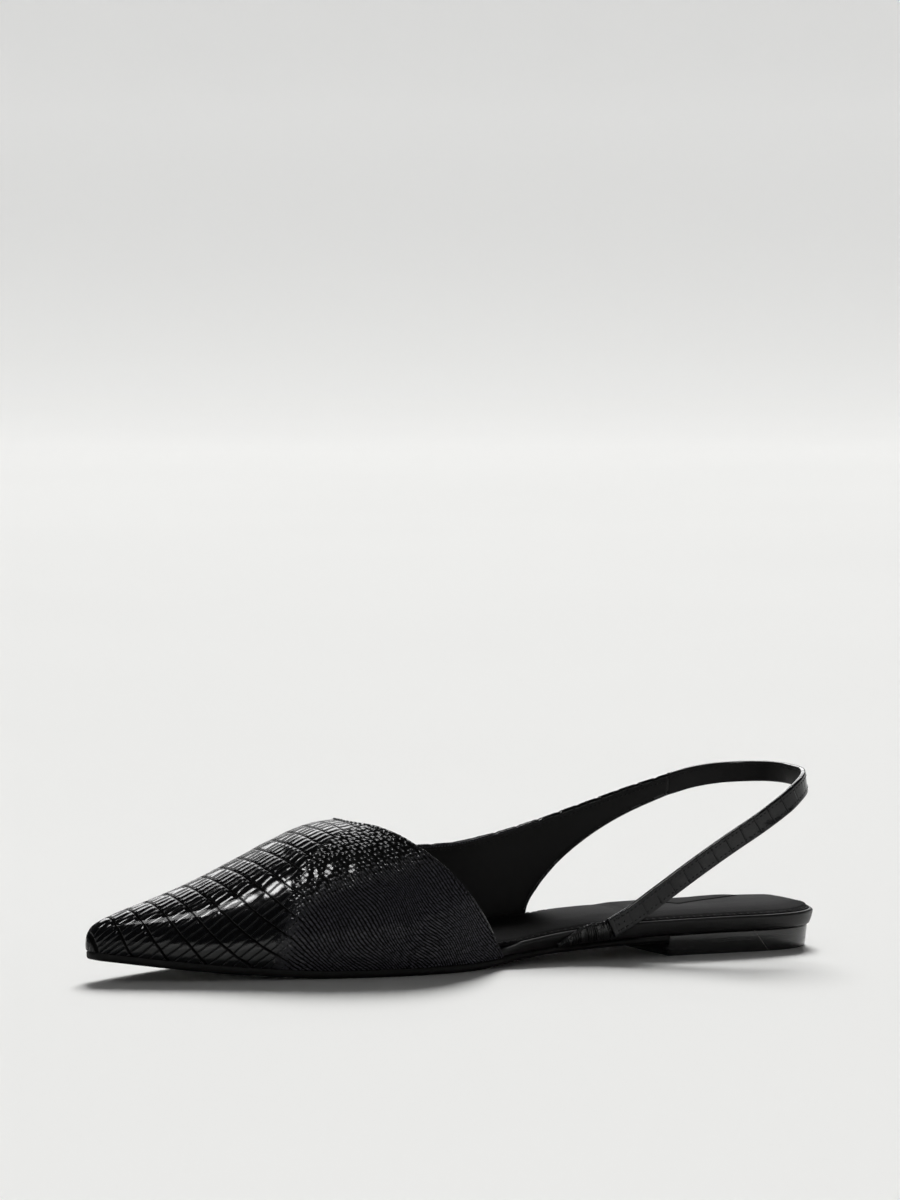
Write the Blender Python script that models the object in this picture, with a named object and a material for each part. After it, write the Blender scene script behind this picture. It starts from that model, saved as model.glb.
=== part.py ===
# Sling back flat: a pointed shoe for the right foot, open along the inner waist.
# Sizes are in millimetres, x from the back of the heel to the toe, y to the wearer's left,
# z up from the floor. Meshes are made in metres.

import math

import bmesh
import bpy
import numpy as np
from mathutils import Vector

MM = 0.001
GAP = 0.3

# Driving sizes
LENGTH = 265.0
HEEL_ROUND = 28.0
HEEL_POWER = 2.35
TOE_RADIUS = 5.0
TOE_HALF_ANGLE = 24.0
BREAST_X = 62.5
HEEL_SEAT = 7.6
LEATHER = 1.8
STRAP_THICKNESS = 2.0
GORE_THICKNESS = 1.3
RUCHES = 8
RUCHE_DEPTH = 0.35

# Facets
HEEL_STEPS = 9
TOE_STEPS = 5
WAIST_STEPS = 26
AROUND = 9

# Half widths of the lasted edge, to the inner and the outer side of the centre line
OUTLINE_COLUMNS = ("x", "inner", "outer")
OUTLINE_ROWS = (
    (28, 25.9, 26.1),
    (60, 24.8, 25.6),
    (85, 23.3, 25.4),
    (104, 22.9, 28.0),
    (118, 24.8, 31.6),
    (132, 29.6, 34.8),
    (147, 34.2, 37.0),
    (162, 35.6, 37.8),
    (178, 33.8, 36.8),
    (198, 28.9, 32.6),
    (218, 22.9, 25.6),
    (240, 14.8, 16.2),
    (262.03, 4.57, 4.57),
)

# Heights along the shoe: underside and top of the outsole, and the rim of the insole
PROFILE_COLUMNS = ("x", "under", "seat", "rim")
PROFILE_ROWS = (
    (0, 4.9, 7.6, 13.1),
    (40, 4.9, 7.6, 13.1),
    (62, 4.8, 7.3, 12.9),
    (80, 4.4, 6.5, 12.4),
    (100, 3.4, 5.3, 10.7),
    (115, 2.1, 4.2, 8.8),
    (128, 0.8, 3.2, 7.3),
    (140, 0.0, 2.7, 6.3),
    (188, 0.0, 2.7, 6.2),
    (215, 1.5, 4.2, 7.6),
    (240, 3.9, 6.7, 10.0),
    (258, 6.1, 8.9, 12.1),
    (265, 7.0, 9.8, 13.0),
)

# Sections of the last: height and side of the crest, swell of the walls past the lasted
# edge, and how square the section is (2 is an ellipse)
SECTION_COLUMNS = ("x", "crest", "crest_y", "swell", "square")
SECTION_ROWS = (
    (0, 86.0, 0.0, 0.6, 2.6),
    (40, 86.0, 0.0, 0.8, 2.6),
    (83, 78.0, 0.0, 1.0, 2.45),
    (108, 70.0, 0.0, 1.3, 2.35),
    (131, 61.5, 0.5, 1.6, 2.25),
    (150, 54.5, 0.5, 1.8, 2.2),
    (173, 49.3, 0.2, 1.8, 2.15),
    (180, 48.6, 0.1, 1.7, 2.1),
    (187, 46.8, 0.0, 1.6, 2.1),
    (207, 38.3, -0.5, 1.3, 2.1),
    (226, 30.4, -0.8, 1.0, 2.1),
    (240, 25.7, -0.8, 0.8, 2.15),
    (255, 21.2, -0.4, 0.5, 2.2),
    (262, 18.3, 0.0, 0.3, 2.2),
    (264.1, 15.9, 0.0, 0.2, 2.1),
    (265, 12.7, 0.0, 0.0, 2.0),
)
THROAT_X = 173.0

# Inner side of the vamp behind the throat: the open edge above and the lasted edge below
VAMP_COLUMNS = ("fold", "top_x", "top_z", "low_x")
VAMP_ROWS = (
    (0, 173.0, 49.3, 173.0),
    (1, 171.2, 48.9, 168.5),
    (2, 167.2, 48.2, 163.5),
    (3, 161.6, 45.7, 158.0),
    (4, 155.5, 41.3, 152.5),
    (5, 150.5, 37.0, 147.5),
    (6, 146.2, 32.7, 143.0),
    (7, 142.2, 28.3, 139.0),
    (8, 138.7, 24.1, 136.0),
    (9, 135.6, 19.8, 133.2),
    (10, 132.6, 15.2, 130.7),
    (11, 129.8, 10.4, 128.5),
    (12, 126.8, 5.6, 126.5),
)

# Outer side behind the throat: the closed quarter, which narrows to the width of the strap
QUARTER_COLUMNS = ("fold", "top_x", "top_z", "low_x", "low_z")
QUARTER_ROWS = (
    (0, 173.0, 49.3, 173.0, 0.0),
    (1, 171.0, 48.9, 167.0, 0.0),
    (2, 166.0, 47.8, 160.0, 0.0),
    (3, 157.5, 43.4, 151.5, 0.0),
    (4, 147.0, 39.0, 142.0, 0.0),
    (5, 134.0, 36.2, 130.0, 0.0),
    (6, 121.0, 36.5, 117.5, 0.0),
    (7, 109.0, 38.6, 105.5, 0.0),
    (8, 99.0, 41.1, 95.2, 0.0),
    (9, 92.3, 43.0, 92.6, 13.5),
    (10, 86.0, 44.8, 88.8, 20.0),
    (11, 79.0, 46.9, 82.8, 26.9),
    (12, 71.2, 49.1, 74.8, 33.4),
    (13, 62.0, 51.8, 64.6, 39.7),
    (14, 52.0, 54.5, 53.4, 44.9),
    (15, 40.0, 57.5, 40.0, 49.7),
)
JOINT_X = 40.0

# Sling strap, from the quarter round the heel to the inner waist: centre line, width and lean
STRAP_COLUMNS = ("row", "x", "y", "z", "width", "lean")
STRAP_ROWS = (
    (0, 39.7, -22.8, 53.6, 7.6, 9),
    (1, 30.0, -22.9, 55.7, 7.5, 9),
    (2, 20.5, -22.0, 56.8, 7.3, 8),
    (3, 11.6, -18.4, 57.3, 7.2, 8),
    (4, 5.8, -12.2, 57.5, 7.1, 8),
    (5, 3.2, -4.0, 57.3, 7.1, 8),
    (6, 3.2, 4.5, 57.0, 7.1, 8),
    (7, 5.8, 12.5, 56.1, 7.1, 8),
    (8, 11.0, 18.4, 53.8, 7.0, 7),
    (9, 18.2, 21.8, 49.6, 7.0, 7),
    (10, 28.0, 23.0, 43.9, 6.9, 6),
    (11, 40.0, 23.4, 37.3, 6.9, 5),
    (12, 54.0, 23.8, 29.2, 6.9, 4),
    (13, 67.0, 24.2, 21.2, 6.9, 3),
    (14, 78.0, 24.6, 14.6, 6.9, 1),
    (15, 85.4, 24.75, 11.0, 6.8, 0),
)

# Ruched elastic gore on the edge of the insole, from the strap's end forward to the outsole
GORE_COLUMNS = ("row", "low_x", "top_x", "top_z")
GORE_ROWS = (
    (0, 85.2, 88.0, 13.6),
    (1, 90.0, 92.0, 12.8),
    (2, 95.0, 96.2, 11.4),
    (3, 100.0, 100.6, 9.0),
    (4, 104.5, 104.8, 6.6),
)

# Insets from the lasted edge
RAND_FOOT_INSET = 1.2
HEEL_TOP_INSET = 2.0
HEEL_FOOT_INSET = 2.7
OUTSOLE_WAIST_INSET = 0.8
OUTSOLE_EDGE_ROUND = 0.9
SOCK_INSET = 0.7
SOCK_RIM = 1.4
SOCK_CROWN = 1.8
UPPER_CLEARANCE = LEATHER + GAP + 0.3
INNER_CORNER_X = 125.0
OUTER_CORNER_X = 93.0
INSET_RUN = 7.0
BOARD_END_X = 258.0


# Reading the tables

def table(columns, rows):
    values = np.array(rows, dtype=float)
    return {name: values[:, place] for place, name in enumerate(columns)}


def read(values, key, column, at):
    xs = values[key]
    ys = values[column]
    at = min(max(at, xs[0]), xs[-1])
    i = int(min(np.searchsorted(xs, at, side="right") - 1, len(xs) - 2))
    slopes = np.diff(ys) / np.diff(xs)

    def tangent(k):
        if k == 0:
            return slopes[0]
        if k == len(xs) - 1:
            return slopes[-1]
        before, after = slopes[k - 1], slopes[k]
        if before * after <= 0.0:
            return 0.0
        return 2.0 * before * after / (before + after)

    width = xs[i + 1] - xs[i]
    t = (at - xs[i]) / width
    rise = ys[i + 1] - ys[i]
    start, end = tangent(i) * width, tangent(i + 1) * width
    return float(ys[i] + t * (start + t * (3 * rise - 2 * start - end + t * (start + end - 2 * rise))))


OUTLINE = table(OUTLINE_COLUMNS, OUTLINE_ROWS)
PROFILE = table(PROFILE_COLUMNS, PROFILE_ROWS)
SECTIONS = table(SECTION_COLUMNS, SECTION_ROWS)
VAMP = table(VAMP_COLUMNS, VAMP_ROWS)
QUARTER = table(QUARTER_COLUMNS, QUARTER_ROWS)
STRAP = table(STRAP_COLUMNS, STRAP_ROWS)
GORE = table(GORE_COLUMNS, GORE_ROWS)


def profile(column, x):
    return read(PROFILE, "x", column, x)


# The last: its edge and its sections

def half_width(side, x):
    toe_centre = LENGTH - TOE_RADIUS
    if x <= HEEL_ROUND:
        reach = max(0.0, 1.0 - ((HEEL_ROUND - x) / HEEL_ROUND) ** HEEL_POWER)
        return OUTLINE[side][0] * reach ** (1.0 / HEEL_POWER)
    if x >= OUTLINE["x"][-1]:
        return math.sqrt(max(0.0, TOE_RADIUS ** 2 - (x - toe_centre) ** 2))
    return read(OUTLINE, "x", side, x)


def stations():
    xs = []
    for step in range(1, HEEL_STEPS + 1):
        angle = 0.5 * math.pi * step / HEEL_STEPS
        xs.append(HEEL_ROUND * (1.0 - math.cos(angle) ** (2.0 / HEEL_POWER)))
    start, end = HEEL_ROUND, OUTLINE["x"][-1]
    for step in range(1, WAIST_STEPS + 1):
        xs.append(start + (end - start) * step / WAIST_STEPS)
    for step in range(1, TOE_STEPS + 1):
        angle = math.radians(TOE_HALF_ANGLE + (78.0 - TOE_HALF_ANGLE) * step / TOE_STEPS)
        xs.append(LENGTH - TOE_RADIUS + TOE_RADIUS * math.sin(angle))
    return xs


def edge_point(side, x, inset):
    sign = 1.0 if side == "inner" else -1.0
    reach = 0.05
    back, ahead = max(0.001, x - reach), min(LENGTH - 0.001, x + reach)
    slope = (half_width(side, ahead) - half_width(side, back)) / (ahead - back)
    length = math.hypot(1.0, slope)
    half = max(half_width(side, x) - inset / length, 0.05)
    return x + inset * slope / length, sign * half


def section_point(x, turn):
    # turn runs from 0 at the inner lasted edge over 0.5 at the crest to 1 at the outer edge
    angle = math.pi * turn
    power = 2.0 / read(SECTIONS, "x", "square", x)
    crest = read(SECTIONS, "x", "crest", x)
    crest_y = read(SECTIONS, "x", "crest_y", x)
    swell = read(SECTIONS, "x", "swell", x) * abs(math.sin(2.0 * angle))
    base = profile("seat", x) + GAP
    across = abs(math.cos(angle)) ** power
    up = max(0.0, math.sin(angle)) ** power
    if turn <= 0.5:
        y = crest_y + (half_width("inner", x) - crest_y) * across + swell
    else:
        y = crest_y - (half_width("outer", x) + crest_y) * across - swell
    return Vector((x, y, base + (crest - base) * up))


def turn_at(side, x, z):
    power = read(SECTIONS, "x", "square", x) / 2.0
    crest = read(SECTIONS, "x", "crest", x)
    base = profile("seat", x) + GAP
    share = min(max((z - base) / (crest - base), 0.0), 1.0)
    turn = math.asin(share ** power) / math.pi
    return turn if side == "inner" else 1.0 - turn


# Meshes and materials

def material(name, colour, roughness, metallic=0.0):
    made = bpy.data.materials.new(name)
    made.use_nodes = True
    shader = made.node_tree.nodes["Principled BSDF"]
    shader.inputs["Base Color"].default_value = (*colour, 1.0)
    shader.inputs["Roughness"].default_value = roughness
    shader.inputs["Metallic"].default_value = metallic
    return made


def finish(name, bm, look):
    bmesh.ops.recalc_face_normals(bm, faces=bm.faces)
    bmesh.ops.scale(bm, vec=Vector((MM, MM, MM)), verts=bm.verts)
    mesh = bpy.data.meshes.new(name)
    bm.to_mesh(mesh)
    bm.free()
    mesh.materials.append(look)
    mesh.shade_smooth()
    mesh.set_sharp_from_angle(angle=math.radians(40))
    made = bpy.data.objects.new(name, mesh)
    bpy.context.scene.collection.objects.link(made)
    return made


def loft(name, rings, look):
    bm = bmesh.new()
    rows = [[bm.verts.new(point) for point in ring] for ring in rings]
    count = len(rows[0])
    for row, after in zip(rows, rows[1:]):
        for j in range(count):
            k = (j + 1) % count
            bm.faces.new((row[j], row[k], after[k], after[j]))
    bm.faces.new(rows[0])
    bm.faces.new(rows[-1])
    return finish(name, bm, look)


def edge_ring(x, low_to_high, crown=()):
    # low_to_high gives (inset, height) pairs for a side, crown gives (share across, rise)
    inner = []
    outer = []
    for side, points in (("inner", inner), ("outer", outer)):
        for inset, height in low_to_high(side, x):
            px, py = edge_point(side, x, inset)
            points.append(Vector((px, py, height)))
    middle = []
    for share, rise in crown:
        point = inner[-1].lerp(outer[-1], share)
        middle.append(point + Vector((0.0, 0.0, rise)))
    return inner + middle + outer[::-1]


def flat_end(ring, x):
    return [Vector((x, point.y, point.z)) for point in ring]


# Outsole and heel

def waist_share(side, x):
    # 1 where the edge of the insole is bare, 0 where the upper covers it
    corner = INNER_CORNER_X if side == "inner" else OUTER_CORNER_X
    t = min(max((corner - x) / INSET_RUN, 0.0), 1.0)
    return t * t * (3.0 - 2.0 * t)


def outsole_edge(side, x):
    inset = OUTSOLE_WAIST_INSET * waist_share(side, x)
    under, seat = profile("under", x), profile("seat", x)
    return (
        (inset + OUTSOLE_EDGE_ROUND, under),
        (inset + 0.25, under + 0.5),
        (inset, under + 0.55 * (seat - under)),
        (inset + 0.2, seat),
    )


def make_outsole(look):
    start = BREAST_X + GAP / 2
    xs = [start] + [x for x in stations() if x > start + 2.0]
    rings = [edge_ring(x, outsole_edge) for x in xs]
    rings[0] = flat_end(rings[0], start)
    return loft("outsole", rings, look)


def heel_edge(side, x):
    return (
        (HEEL_FOOT_INSET + 0.4, 0.0),
        (HEEL_FOOT_INSET, 0.5),
        (HEEL_TOP_INSET, HEEL_SEAT - 1.0),
        (HEEL_TOP_INSET, profile("seat", x) - GAP / 2),
    )


def make_heel(look):
    end = BREAST_X - GAP / 2
    xs = [x for x in stations() if x < end - 2.0] + [end]
    rings = [edge_ring(x, heel_edge) for x in xs]
    rings[-1] = flat_end(rings[-1], end)
    return loft("heel", rings, look)


# Insole: the wrapped board with its bare rand, and the padded sock on it

def board_edge(side, x):
    bare = waist_share(side, x)
    covered = UPPER_CLEARANCE * (1.0 - bare)
    seat, top = profile("seat", x) + GAP, profile("rim", x) - SOCK_RIM - GAP
    return (
        (covered + (RAND_FOOT_INSET + 0.3) * bare, seat),
        (covered + RAND_FOOT_INSET * bare, seat + 0.4),
        (covered, top - 0.8),
        (covered + 0.1, top),
    )


def make_board(look):
    xs = [x for x in stations() if x < BOARD_END_X]
    return loft("insole_board", [edge_ring(x, board_edge) for x in xs], look)


def sock_edge(side, x):
    covered = UPPER_CLEARANCE * (1.0 - waist_share(side, x))
    top = profile("rim", x)
    inset = covered + SOCK_INSET
    return (
        (inset - 0.4, top - SOCK_RIM),
        (inset - 0.6, top - 0.8),
        (inset - 0.1, top - 0.2),
        (inset + 1.2, top),
    )


def make_sock(look):
    xs = [x for x in stations() if x < BOARD_END_X]
    rings = []
    for x in xs:
        fullness = min(1.0, half_width("inner", x) / 20.0)
        rise = SOCK_CROWN * fullness
        crown = ((0.12, 0.62 * rise), (0.3, rise), (0.5, rise), (0.7, rise), (0.88, 0.62 * rise))
        rings.append(edge_ring(x, sock_edge, crown))
    return loft("insole", rings, look)


# Upper: vamp and outer quarter, one shell of lined leather

def sheet_rows(values, side, folds_per_row):
    folds = values["fold"]
    steps = int(round(folds[-1] * folds_per_row))
    rows = []
    for step in range(1, steps + 1):
        fold = folds[-1] * step / steps
        top_x = read(values, "fold", "top_x", fold)
        top_z = read(values, "fold", "top_z", fold)
        low_x = read(values, "fold", "low_x", fold)
        low_z = read(values, "fold", "low_z", fold) if "low_z" in values else 0.0
        high = turn_at(side, top_x, top_z)
        low = turn_at(side, low_x, low_z)
        row = []
        for j in range(AROUND + 1):
            share = j / AROUND
            row.append(section_point(low_x + (top_x - low_x) * share, low + (high - low) * share))
        rows.append(row)
    return rows


def upper_sheet(bm):
    toe = [x for x in stations() if x > THROAT_X + 3.0]
    xs = toe[::-1] + [THROAT_X]
    count = 2 * AROUND
    tip = []
    for j in range(AROUND + 1):
        point = section_point(LENGTH, 0.5 * j / AROUND)
        tip.append(bm.verts.new((LENGTH, 0.0, point.z)))
    rows = [tip + tip[-2::-1]]
    for x in xs:
        rows.append([bm.verts.new(section_point(x, j / count)) for j in range(count + 1)])
    for row, after in zip(rows, rows[1:]):
        for j in range(count):
            bm.faces.new((row[j], row[j + 1], after[j + 1], after[j]))
    throat = rows[-1]
    for values, side, seam, folds_per_row in (
        (VAMP, "inner", throat[: AROUND + 1], 1.0),
        (QUARTER, "outer", throat[: AROUND - 1 : -1], 1.5),
    ):
        before = seam
        for row in sheet_rows(values, side, folds_per_row):
            after = [bm.verts.new(point) for point in row]
            for j in range(AROUND):
                bm.faces.new((before[j], before[j + 1], after[j + 1], after[j]))
            before = after


def thicken(bm, thickness):
    # A second skin inside the first, joined to it round every open edge
    bmesh.ops.recalc_face_normals(bm, faces=bm.faces)
    highest = max(bm.faces, key=lambda face: face.calc_center_median().z)
    if highest.normal.z < 0.0:
        bmesh.ops.reverse_faces(bm, faces=bm.faces)
    bm.normal_update()
    faces = list(bm.faces)
    rim = [edge for edge in bm.edges if edge.is_boundary]
    inner = {}
    for vert in list(bm.verts):
        normal = vert.normal.copy()
        base = profile("seat", vert.co.x) + GAP
        joint = abs(vert.co.x - JOINT_X) < 0.01
        if vert.co.z < base + 0.01:
            normal.z = 0.0
        if joint:
            normal.x = 0.0
        normal.normalize()
        inner[vert] = bm.verts.new(vert.co - normal * thickness)
    for face in faces:
        bm.faces.new([inner[vert] for vert in reversed(face.verts)])
    for edge in rim:
        a, b = edge.verts
        bm.faces.new((a, b, inner[b], inner[a]))


def make_upper(look):
    bm = bmesh.new()
    upper_sheet(bm)
    thicken(bm, LEATHER)
    return finish("upper", bm, look)


# Sling strap

def strap_place(row):
    return Vector([read(STRAP, "row", column, row) for column in ("x", "y", "z")])


def strap_ring(row, last):
    here = strap_place(row)
    ahead = strap_place(min(row + 0.05, last))
    behind = strap_place(max(row - 0.05, 0.0))
    along = (ahead - behind).normalized()
    up = Vector((0.0, 0.0, 1.0))
    up = (up - along * up.dot(along)).normalized()
    out = up.cross(along).normalized()
    lean = math.radians(read(STRAP, "row", "lean", row))
    across = up * math.cos(lean) - out * math.sin(lean)
    normal = out * math.cos(lean) + up * math.sin(lean)
    half = read(STRAP, "row", "width", row) / 2.0
    thick = STRAP_THICKNESS / 2.0
    corners = (
        (-half + 0.5, -thick), (half - 0.5, -thick), (half, -0.4 * thick), (half, 0.4 * thick),
        (half - 0.5, thick), (-half + 0.5, thick), (-half, 0.4 * thick), (-half, -0.4 * thick),
    )
    return [here + across * a + normal * b for a, b in corners]


def make_strap(look):
    last = STRAP["row"][-1]
    steps = int(last) * 3
    rings = [strap_ring(last * step / steps, last) for step in range(steps + 1)]
    rings[0] = flat_end(rings[0], JOINT_X - GAP)
    return loft("sling_strap", rings, look)


# Elastic gore

def gore_ring(share):
    row = GORE["row"][-1] * share
    low_x = read(GORE, "row", "low_x", row)
    top_x = read(GORE, "row", "top_x", row)
    low_z = profile("seat", low_x) + 0.2
    top_z = read(GORE, "row", "top_z", row)
    wave = 0.5 - 0.5 * math.cos(2.0 * math.pi * RUCHES * share)
    thick = GORE_THICKNESS - RUCHE_DEPTH * (1.0 - wave)
    foot = half_width("inner", low_x) - RAND_FOOT_INSET + GAP
    head = half_width("inner", top_x) + GAP
    middle_x, middle_z = (low_x + top_x) / 2.0, (low_z + top_z) / 2.0
    return [
        Vector((low_x, foot + 0.15, low_z)),
        Vector((middle_x, head, middle_z)),
        Vector((top_x, head, top_z)),
        Vector((top_x, head + 0.6 * thick, top_z + 0.1)),
        Vector((middle_x, head + thick, middle_z)),
        Vector((low_x, foot + 0.15 + 0.8 * thick, low_z)),
    ]


def make_gore(look):
    steps = RUCHES * 4
    return loft("elastic_gore", [gore_ring(step / steps) for step in range(steps + 1)], look)


# The whole shoe, its box centred on the origin

def centre(made):
    corners = np.array([vert.co[:] for thing in made for vert in thing.data.vertices])
    low, high = corners.min(axis=0), corners.max(axis=0)
    shift = Vector((-(low[0] + high[0]) / 2.0, -(low[1] + high[1]) / 2.0, -low[2]))
    for thing in made:
        for vert in thing.data.vertices:
            vert.co = vert.co + shift


def main():
    for thing in list(bpy.data.objects):
        bpy.data.objects.remove(thing, do_unlink=True)
    embossed = material("embossed_leather", (0.012, 0.013, 0.016), 0.25)
    sole = material("outsole_rubber", (0.010, 0.010, 0.010), 0.40)
    block = material("heel_plastic", (0.010, 0.010, 0.011), 0.25)
    smooth = material("smooth_leather", (0.020, 0.019, 0.020), 0.40)
    elastic = material("ruched_elastic", (0.010, 0.010, 0.011), 0.30)
    centre([
        make_outsole(sole),
        make_heel(block),
        make_board(smooth),
        make_sock(smooth),
        make_upper(embossed),
        make_strap(embossed),
        make_gore(elastic),
    ])


main()
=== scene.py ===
import math

import bpy
import numpy as np
from mathutils import Matrix, Vector
from mathutils.bvhtree import BVHTree
from mathutils.kdtree import KDTree


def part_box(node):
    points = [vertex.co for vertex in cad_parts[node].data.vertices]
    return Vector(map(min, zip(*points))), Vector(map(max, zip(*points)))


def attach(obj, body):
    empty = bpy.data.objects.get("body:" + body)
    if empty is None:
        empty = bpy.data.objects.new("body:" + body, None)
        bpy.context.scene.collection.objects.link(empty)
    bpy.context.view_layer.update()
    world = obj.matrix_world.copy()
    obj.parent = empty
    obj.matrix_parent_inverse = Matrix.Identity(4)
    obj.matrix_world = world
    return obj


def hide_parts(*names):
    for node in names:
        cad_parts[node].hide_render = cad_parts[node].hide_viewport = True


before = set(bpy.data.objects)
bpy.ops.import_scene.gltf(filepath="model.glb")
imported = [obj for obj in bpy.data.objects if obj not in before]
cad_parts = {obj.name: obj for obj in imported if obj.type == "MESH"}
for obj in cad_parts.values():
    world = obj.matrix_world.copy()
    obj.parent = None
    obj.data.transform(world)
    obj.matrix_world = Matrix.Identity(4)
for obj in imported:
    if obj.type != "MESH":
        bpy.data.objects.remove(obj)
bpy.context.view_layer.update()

# Sizes are in millimetres in the shoe's own axes, x from the back of the heel to the toe,
# y to the inner side, z up from the floor. place() turns them to the frame's metres.

mm = 0.001

last = {
    "length": 265.0,
    "heelRound": 28.0,
    "heelPower": 2.35,
    "toeRadius": 5.0,
    "gap": 0.3,          # the solids stand this far apart
    "outline": [         # x, half width to the inner side, half width to the outer side
        (28, 25.9, 26.1), (60, 24.8, 25.6), (85, 23.3, 25.4), (104, 22.9, 28.0),
        (118, 24.8, 31.6), (132, 29.6, 34.8), (147, 34.2, 37.0), (162, 35.6, 37.8),
        (178, 33.8, 36.8), (198, 28.9, 32.6), (218, 22.9, 25.6), (240, 14.8, 16.2),
        (262.03, 4.57, 4.57),
    ],
    "profile": [         # x, underside of the outsole, its top, rim of the insole
        (0, 4.9, 7.6, 13.1), (40, 4.9, 7.6, 13.1), (62, 4.8, 7.3, 12.9), (80, 4.4, 6.5, 12.4),
        (100, 3.4, 5.3, 10.7), (115, 2.1, 4.2, 8.8), (128, 0.8, 3.2, 7.3), (140, 0.0, 2.7, 6.3),
        (188, 0.0, 2.7, 6.2), (215, 1.5, 4.2, 7.6), (240, 3.9, 6.7, 10.0),
        (258, 6.1, 8.9, 12.1), (265, 7.0, 9.8, 13.0),
    ],
    "sections": [        # x, height of the crest, its side, swell of the walls, squareness
        (0, 86.0, 0.0, 0.6, 2.6), (40, 86.0, 0.0, 0.8, 2.6), (83, 78.0, 0.0, 1.0, 2.45),
        (108, 70.0, 0.0, 1.3, 2.35), (131, 61.5, 0.5, 1.6, 2.25), (150, 54.5, 0.5, 1.8, 2.2),
        (173, 49.3, 0.2, 1.8, 2.15), (180, 48.6, 0.1, 1.7, 2.1), (187, 46.8, 0.0, 1.6, 2.1),
        (207, 38.3, -0.5, 1.3, 2.1), (226, 30.4, -0.8, 1.0, 2.1), (240, 25.7, -0.8, 0.8, 2.15),
        (255, 21.2, -0.4, 0.5, 2.2), (262, 18.3, 0.0, 0.3, 2.2), (264.1, 15.9, 0.0, 0.2, 2.1),
        (265, 12.7, 0.0, 0.0, 2.0),
    ],
    "innerCorner": 125.0,    # the upper covers the edge of the insole from here forward
    "outerCorner": 93.0,
    "cornerRun": 7.0,
    "covered": 2.4,
}

heelLow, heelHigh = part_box("heel")
shift = np.array([
    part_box("upper")[1].x / mm - last["length"],
    (heelLow.y + heelHigh.y) / 2.0 / mm + 0.1,
    0.0,
])


def place(points):
    return (np.asarray(points, float) + shift) * mm


def smoothCurve(xs, ys, at):
    # a curve through the rows of a table that never overshoots them
    xs = np.asarray(xs, float)
    ys = np.asarray(ys, float)
    at = np.clip(at, xs[0], xs[-1])
    i = np.clip(np.searchsorted(xs, at, side="right") - 1, 0, len(xs) - 2)
    slopes = np.diff(ys) / np.diff(xs)
    tangents = np.zeros(len(xs))
    tangents[0] = slopes[0]
    tangents[-1] = slopes[-1]
    before = slopes[:-1]
    after = slopes[1:]
    agree = before * after > 0.0
    total = np.where(agree, before + after, 1.0)
    tangents[1:-1] = np.where(agree, 2.0 * before * after / total, 0.0)
    width = xs[i + 1] - xs[i]
    t = (at - xs[i]) / width
    rise = ys[i + 1] - ys[i]
    start = tangents[i] * width
    end = tangents[i + 1] * width
    return ys[i] + t * (start + t * (3 * rise - 2 * start - end + t * (start + end - 2 * rise)))


def readTable(rows, column, at):
    values = np.array(rows, float)
    return smoothCurve(values[:, 0], values[:, column], at)


def smoothStep(low, high, value):
    t = np.clip((value - low) / (high - low), 0.0, 1.0)
    return t * t * (3.0 - 2.0 * t)


# The last: its edge seen from above and its sections

def halfWidth(side, x):
    x = np.asarray(x, float)
    column = 1 if side > 0 else 2
    power = last["heelPower"]
    back = np.clip((last["heelRound"] - x) / last["heelRound"], 0.0, 1.0)
    heel = last["outline"][0][column] * np.clip(1.0 - back ** power, 0.0, 1.0) ** (1.0 / power)
    toeCentre = last["length"] - last["toeRadius"]
    toe = np.sqrt(np.clip(last["toeRadius"] ** 2 - (x - toeCentre) ** 2, 0.0, None))
    middle = readTable(last["outline"], column, x)
    return np.where(x <= last["heelRound"], heel, np.where(x >= last["outline"][-1][0], toe, middle))


def seatHeight(x):
    return readTable(last["profile"], 2, x)


def rimHeight(x):
    return readTable(last["profile"], 3, x)


def edgePoint(side, x, inset):
    x = np.asarray(x, float)
    back = np.clip(x - 0.05, 0.001, None)
    ahead = np.clip(x + 0.05, None, last["length"] - 0.001)
    slope = (halfWidth(side, ahead) - halfWidth(side, back)) / (ahead - back)
    length = np.hypot(1.0, slope)
    half = np.clip(halfWidth(side, x) - inset / length, 0.03, None)
    return x + inset * slope / length, side * half


def sectionPoint(x, turn):
    # turn runs from 0 at the inner lasted edge over 0.5 at the crest to 1 at the outer edge
    angle = math.pi * turn
    power = 2.0 / readTable(last["sections"], 4, x)
    crest = readTable(last["sections"], 1, x)
    crestSide = readTable(last["sections"], 2, x)
    swell = readTable(last["sections"], 3, x) * np.abs(np.sin(2.0 * angle))
    base = seatHeight(x) + last["gap"]
    across = np.abs(np.cos(angle)) ** power
    up = np.clip(np.sin(angle), 0.0, None) ** power
    inner = crestSide + (halfWidth(1, x) - crestSide) * across + swell
    outer = crestSide - (halfWidth(-1, x) + crestSide) * across - swell
    return np.stack([x + 0.0 * turn, np.where(turn <= 0.5, inner, outer), base + (crest - base) * up], -1)


def turnAt(side, x, z):
    power = readTable(last["sections"], 4, x) / 2.0
    base = seatHeight(x) + last["gap"]
    crest = readTable(last["sections"], 1, x)
    share = np.clip((z - base) / (crest - base), 0.0, 1.0)
    turn = np.arcsin(share ** power) / math.pi
    return turn if side > 0 else 1.0 - turn


def heelStations(count):
    angle = 0.5 * math.pi * (np.arange(count) + 0.3) / count
    return last["heelRound"] * (1.0 - np.cos(angle) ** (2.0 / last["heelPower"]))


def toeStations(count, top):
    angle = np.radians(np.linspace(24.0, top, count))
    return last["length"] - last["toeRadius"] + last["toeRadius"] * np.sin(angle)


def footStations(pitch):
    start = last["heelRound"]
    end = toeStations(2, 78.0)[0]
    middle = np.linspace(start, end, int((end - start) / pitch))
    return np.concatenate([heelStations(34), middle[:-1], toeStations(14, 84.0)])


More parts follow.
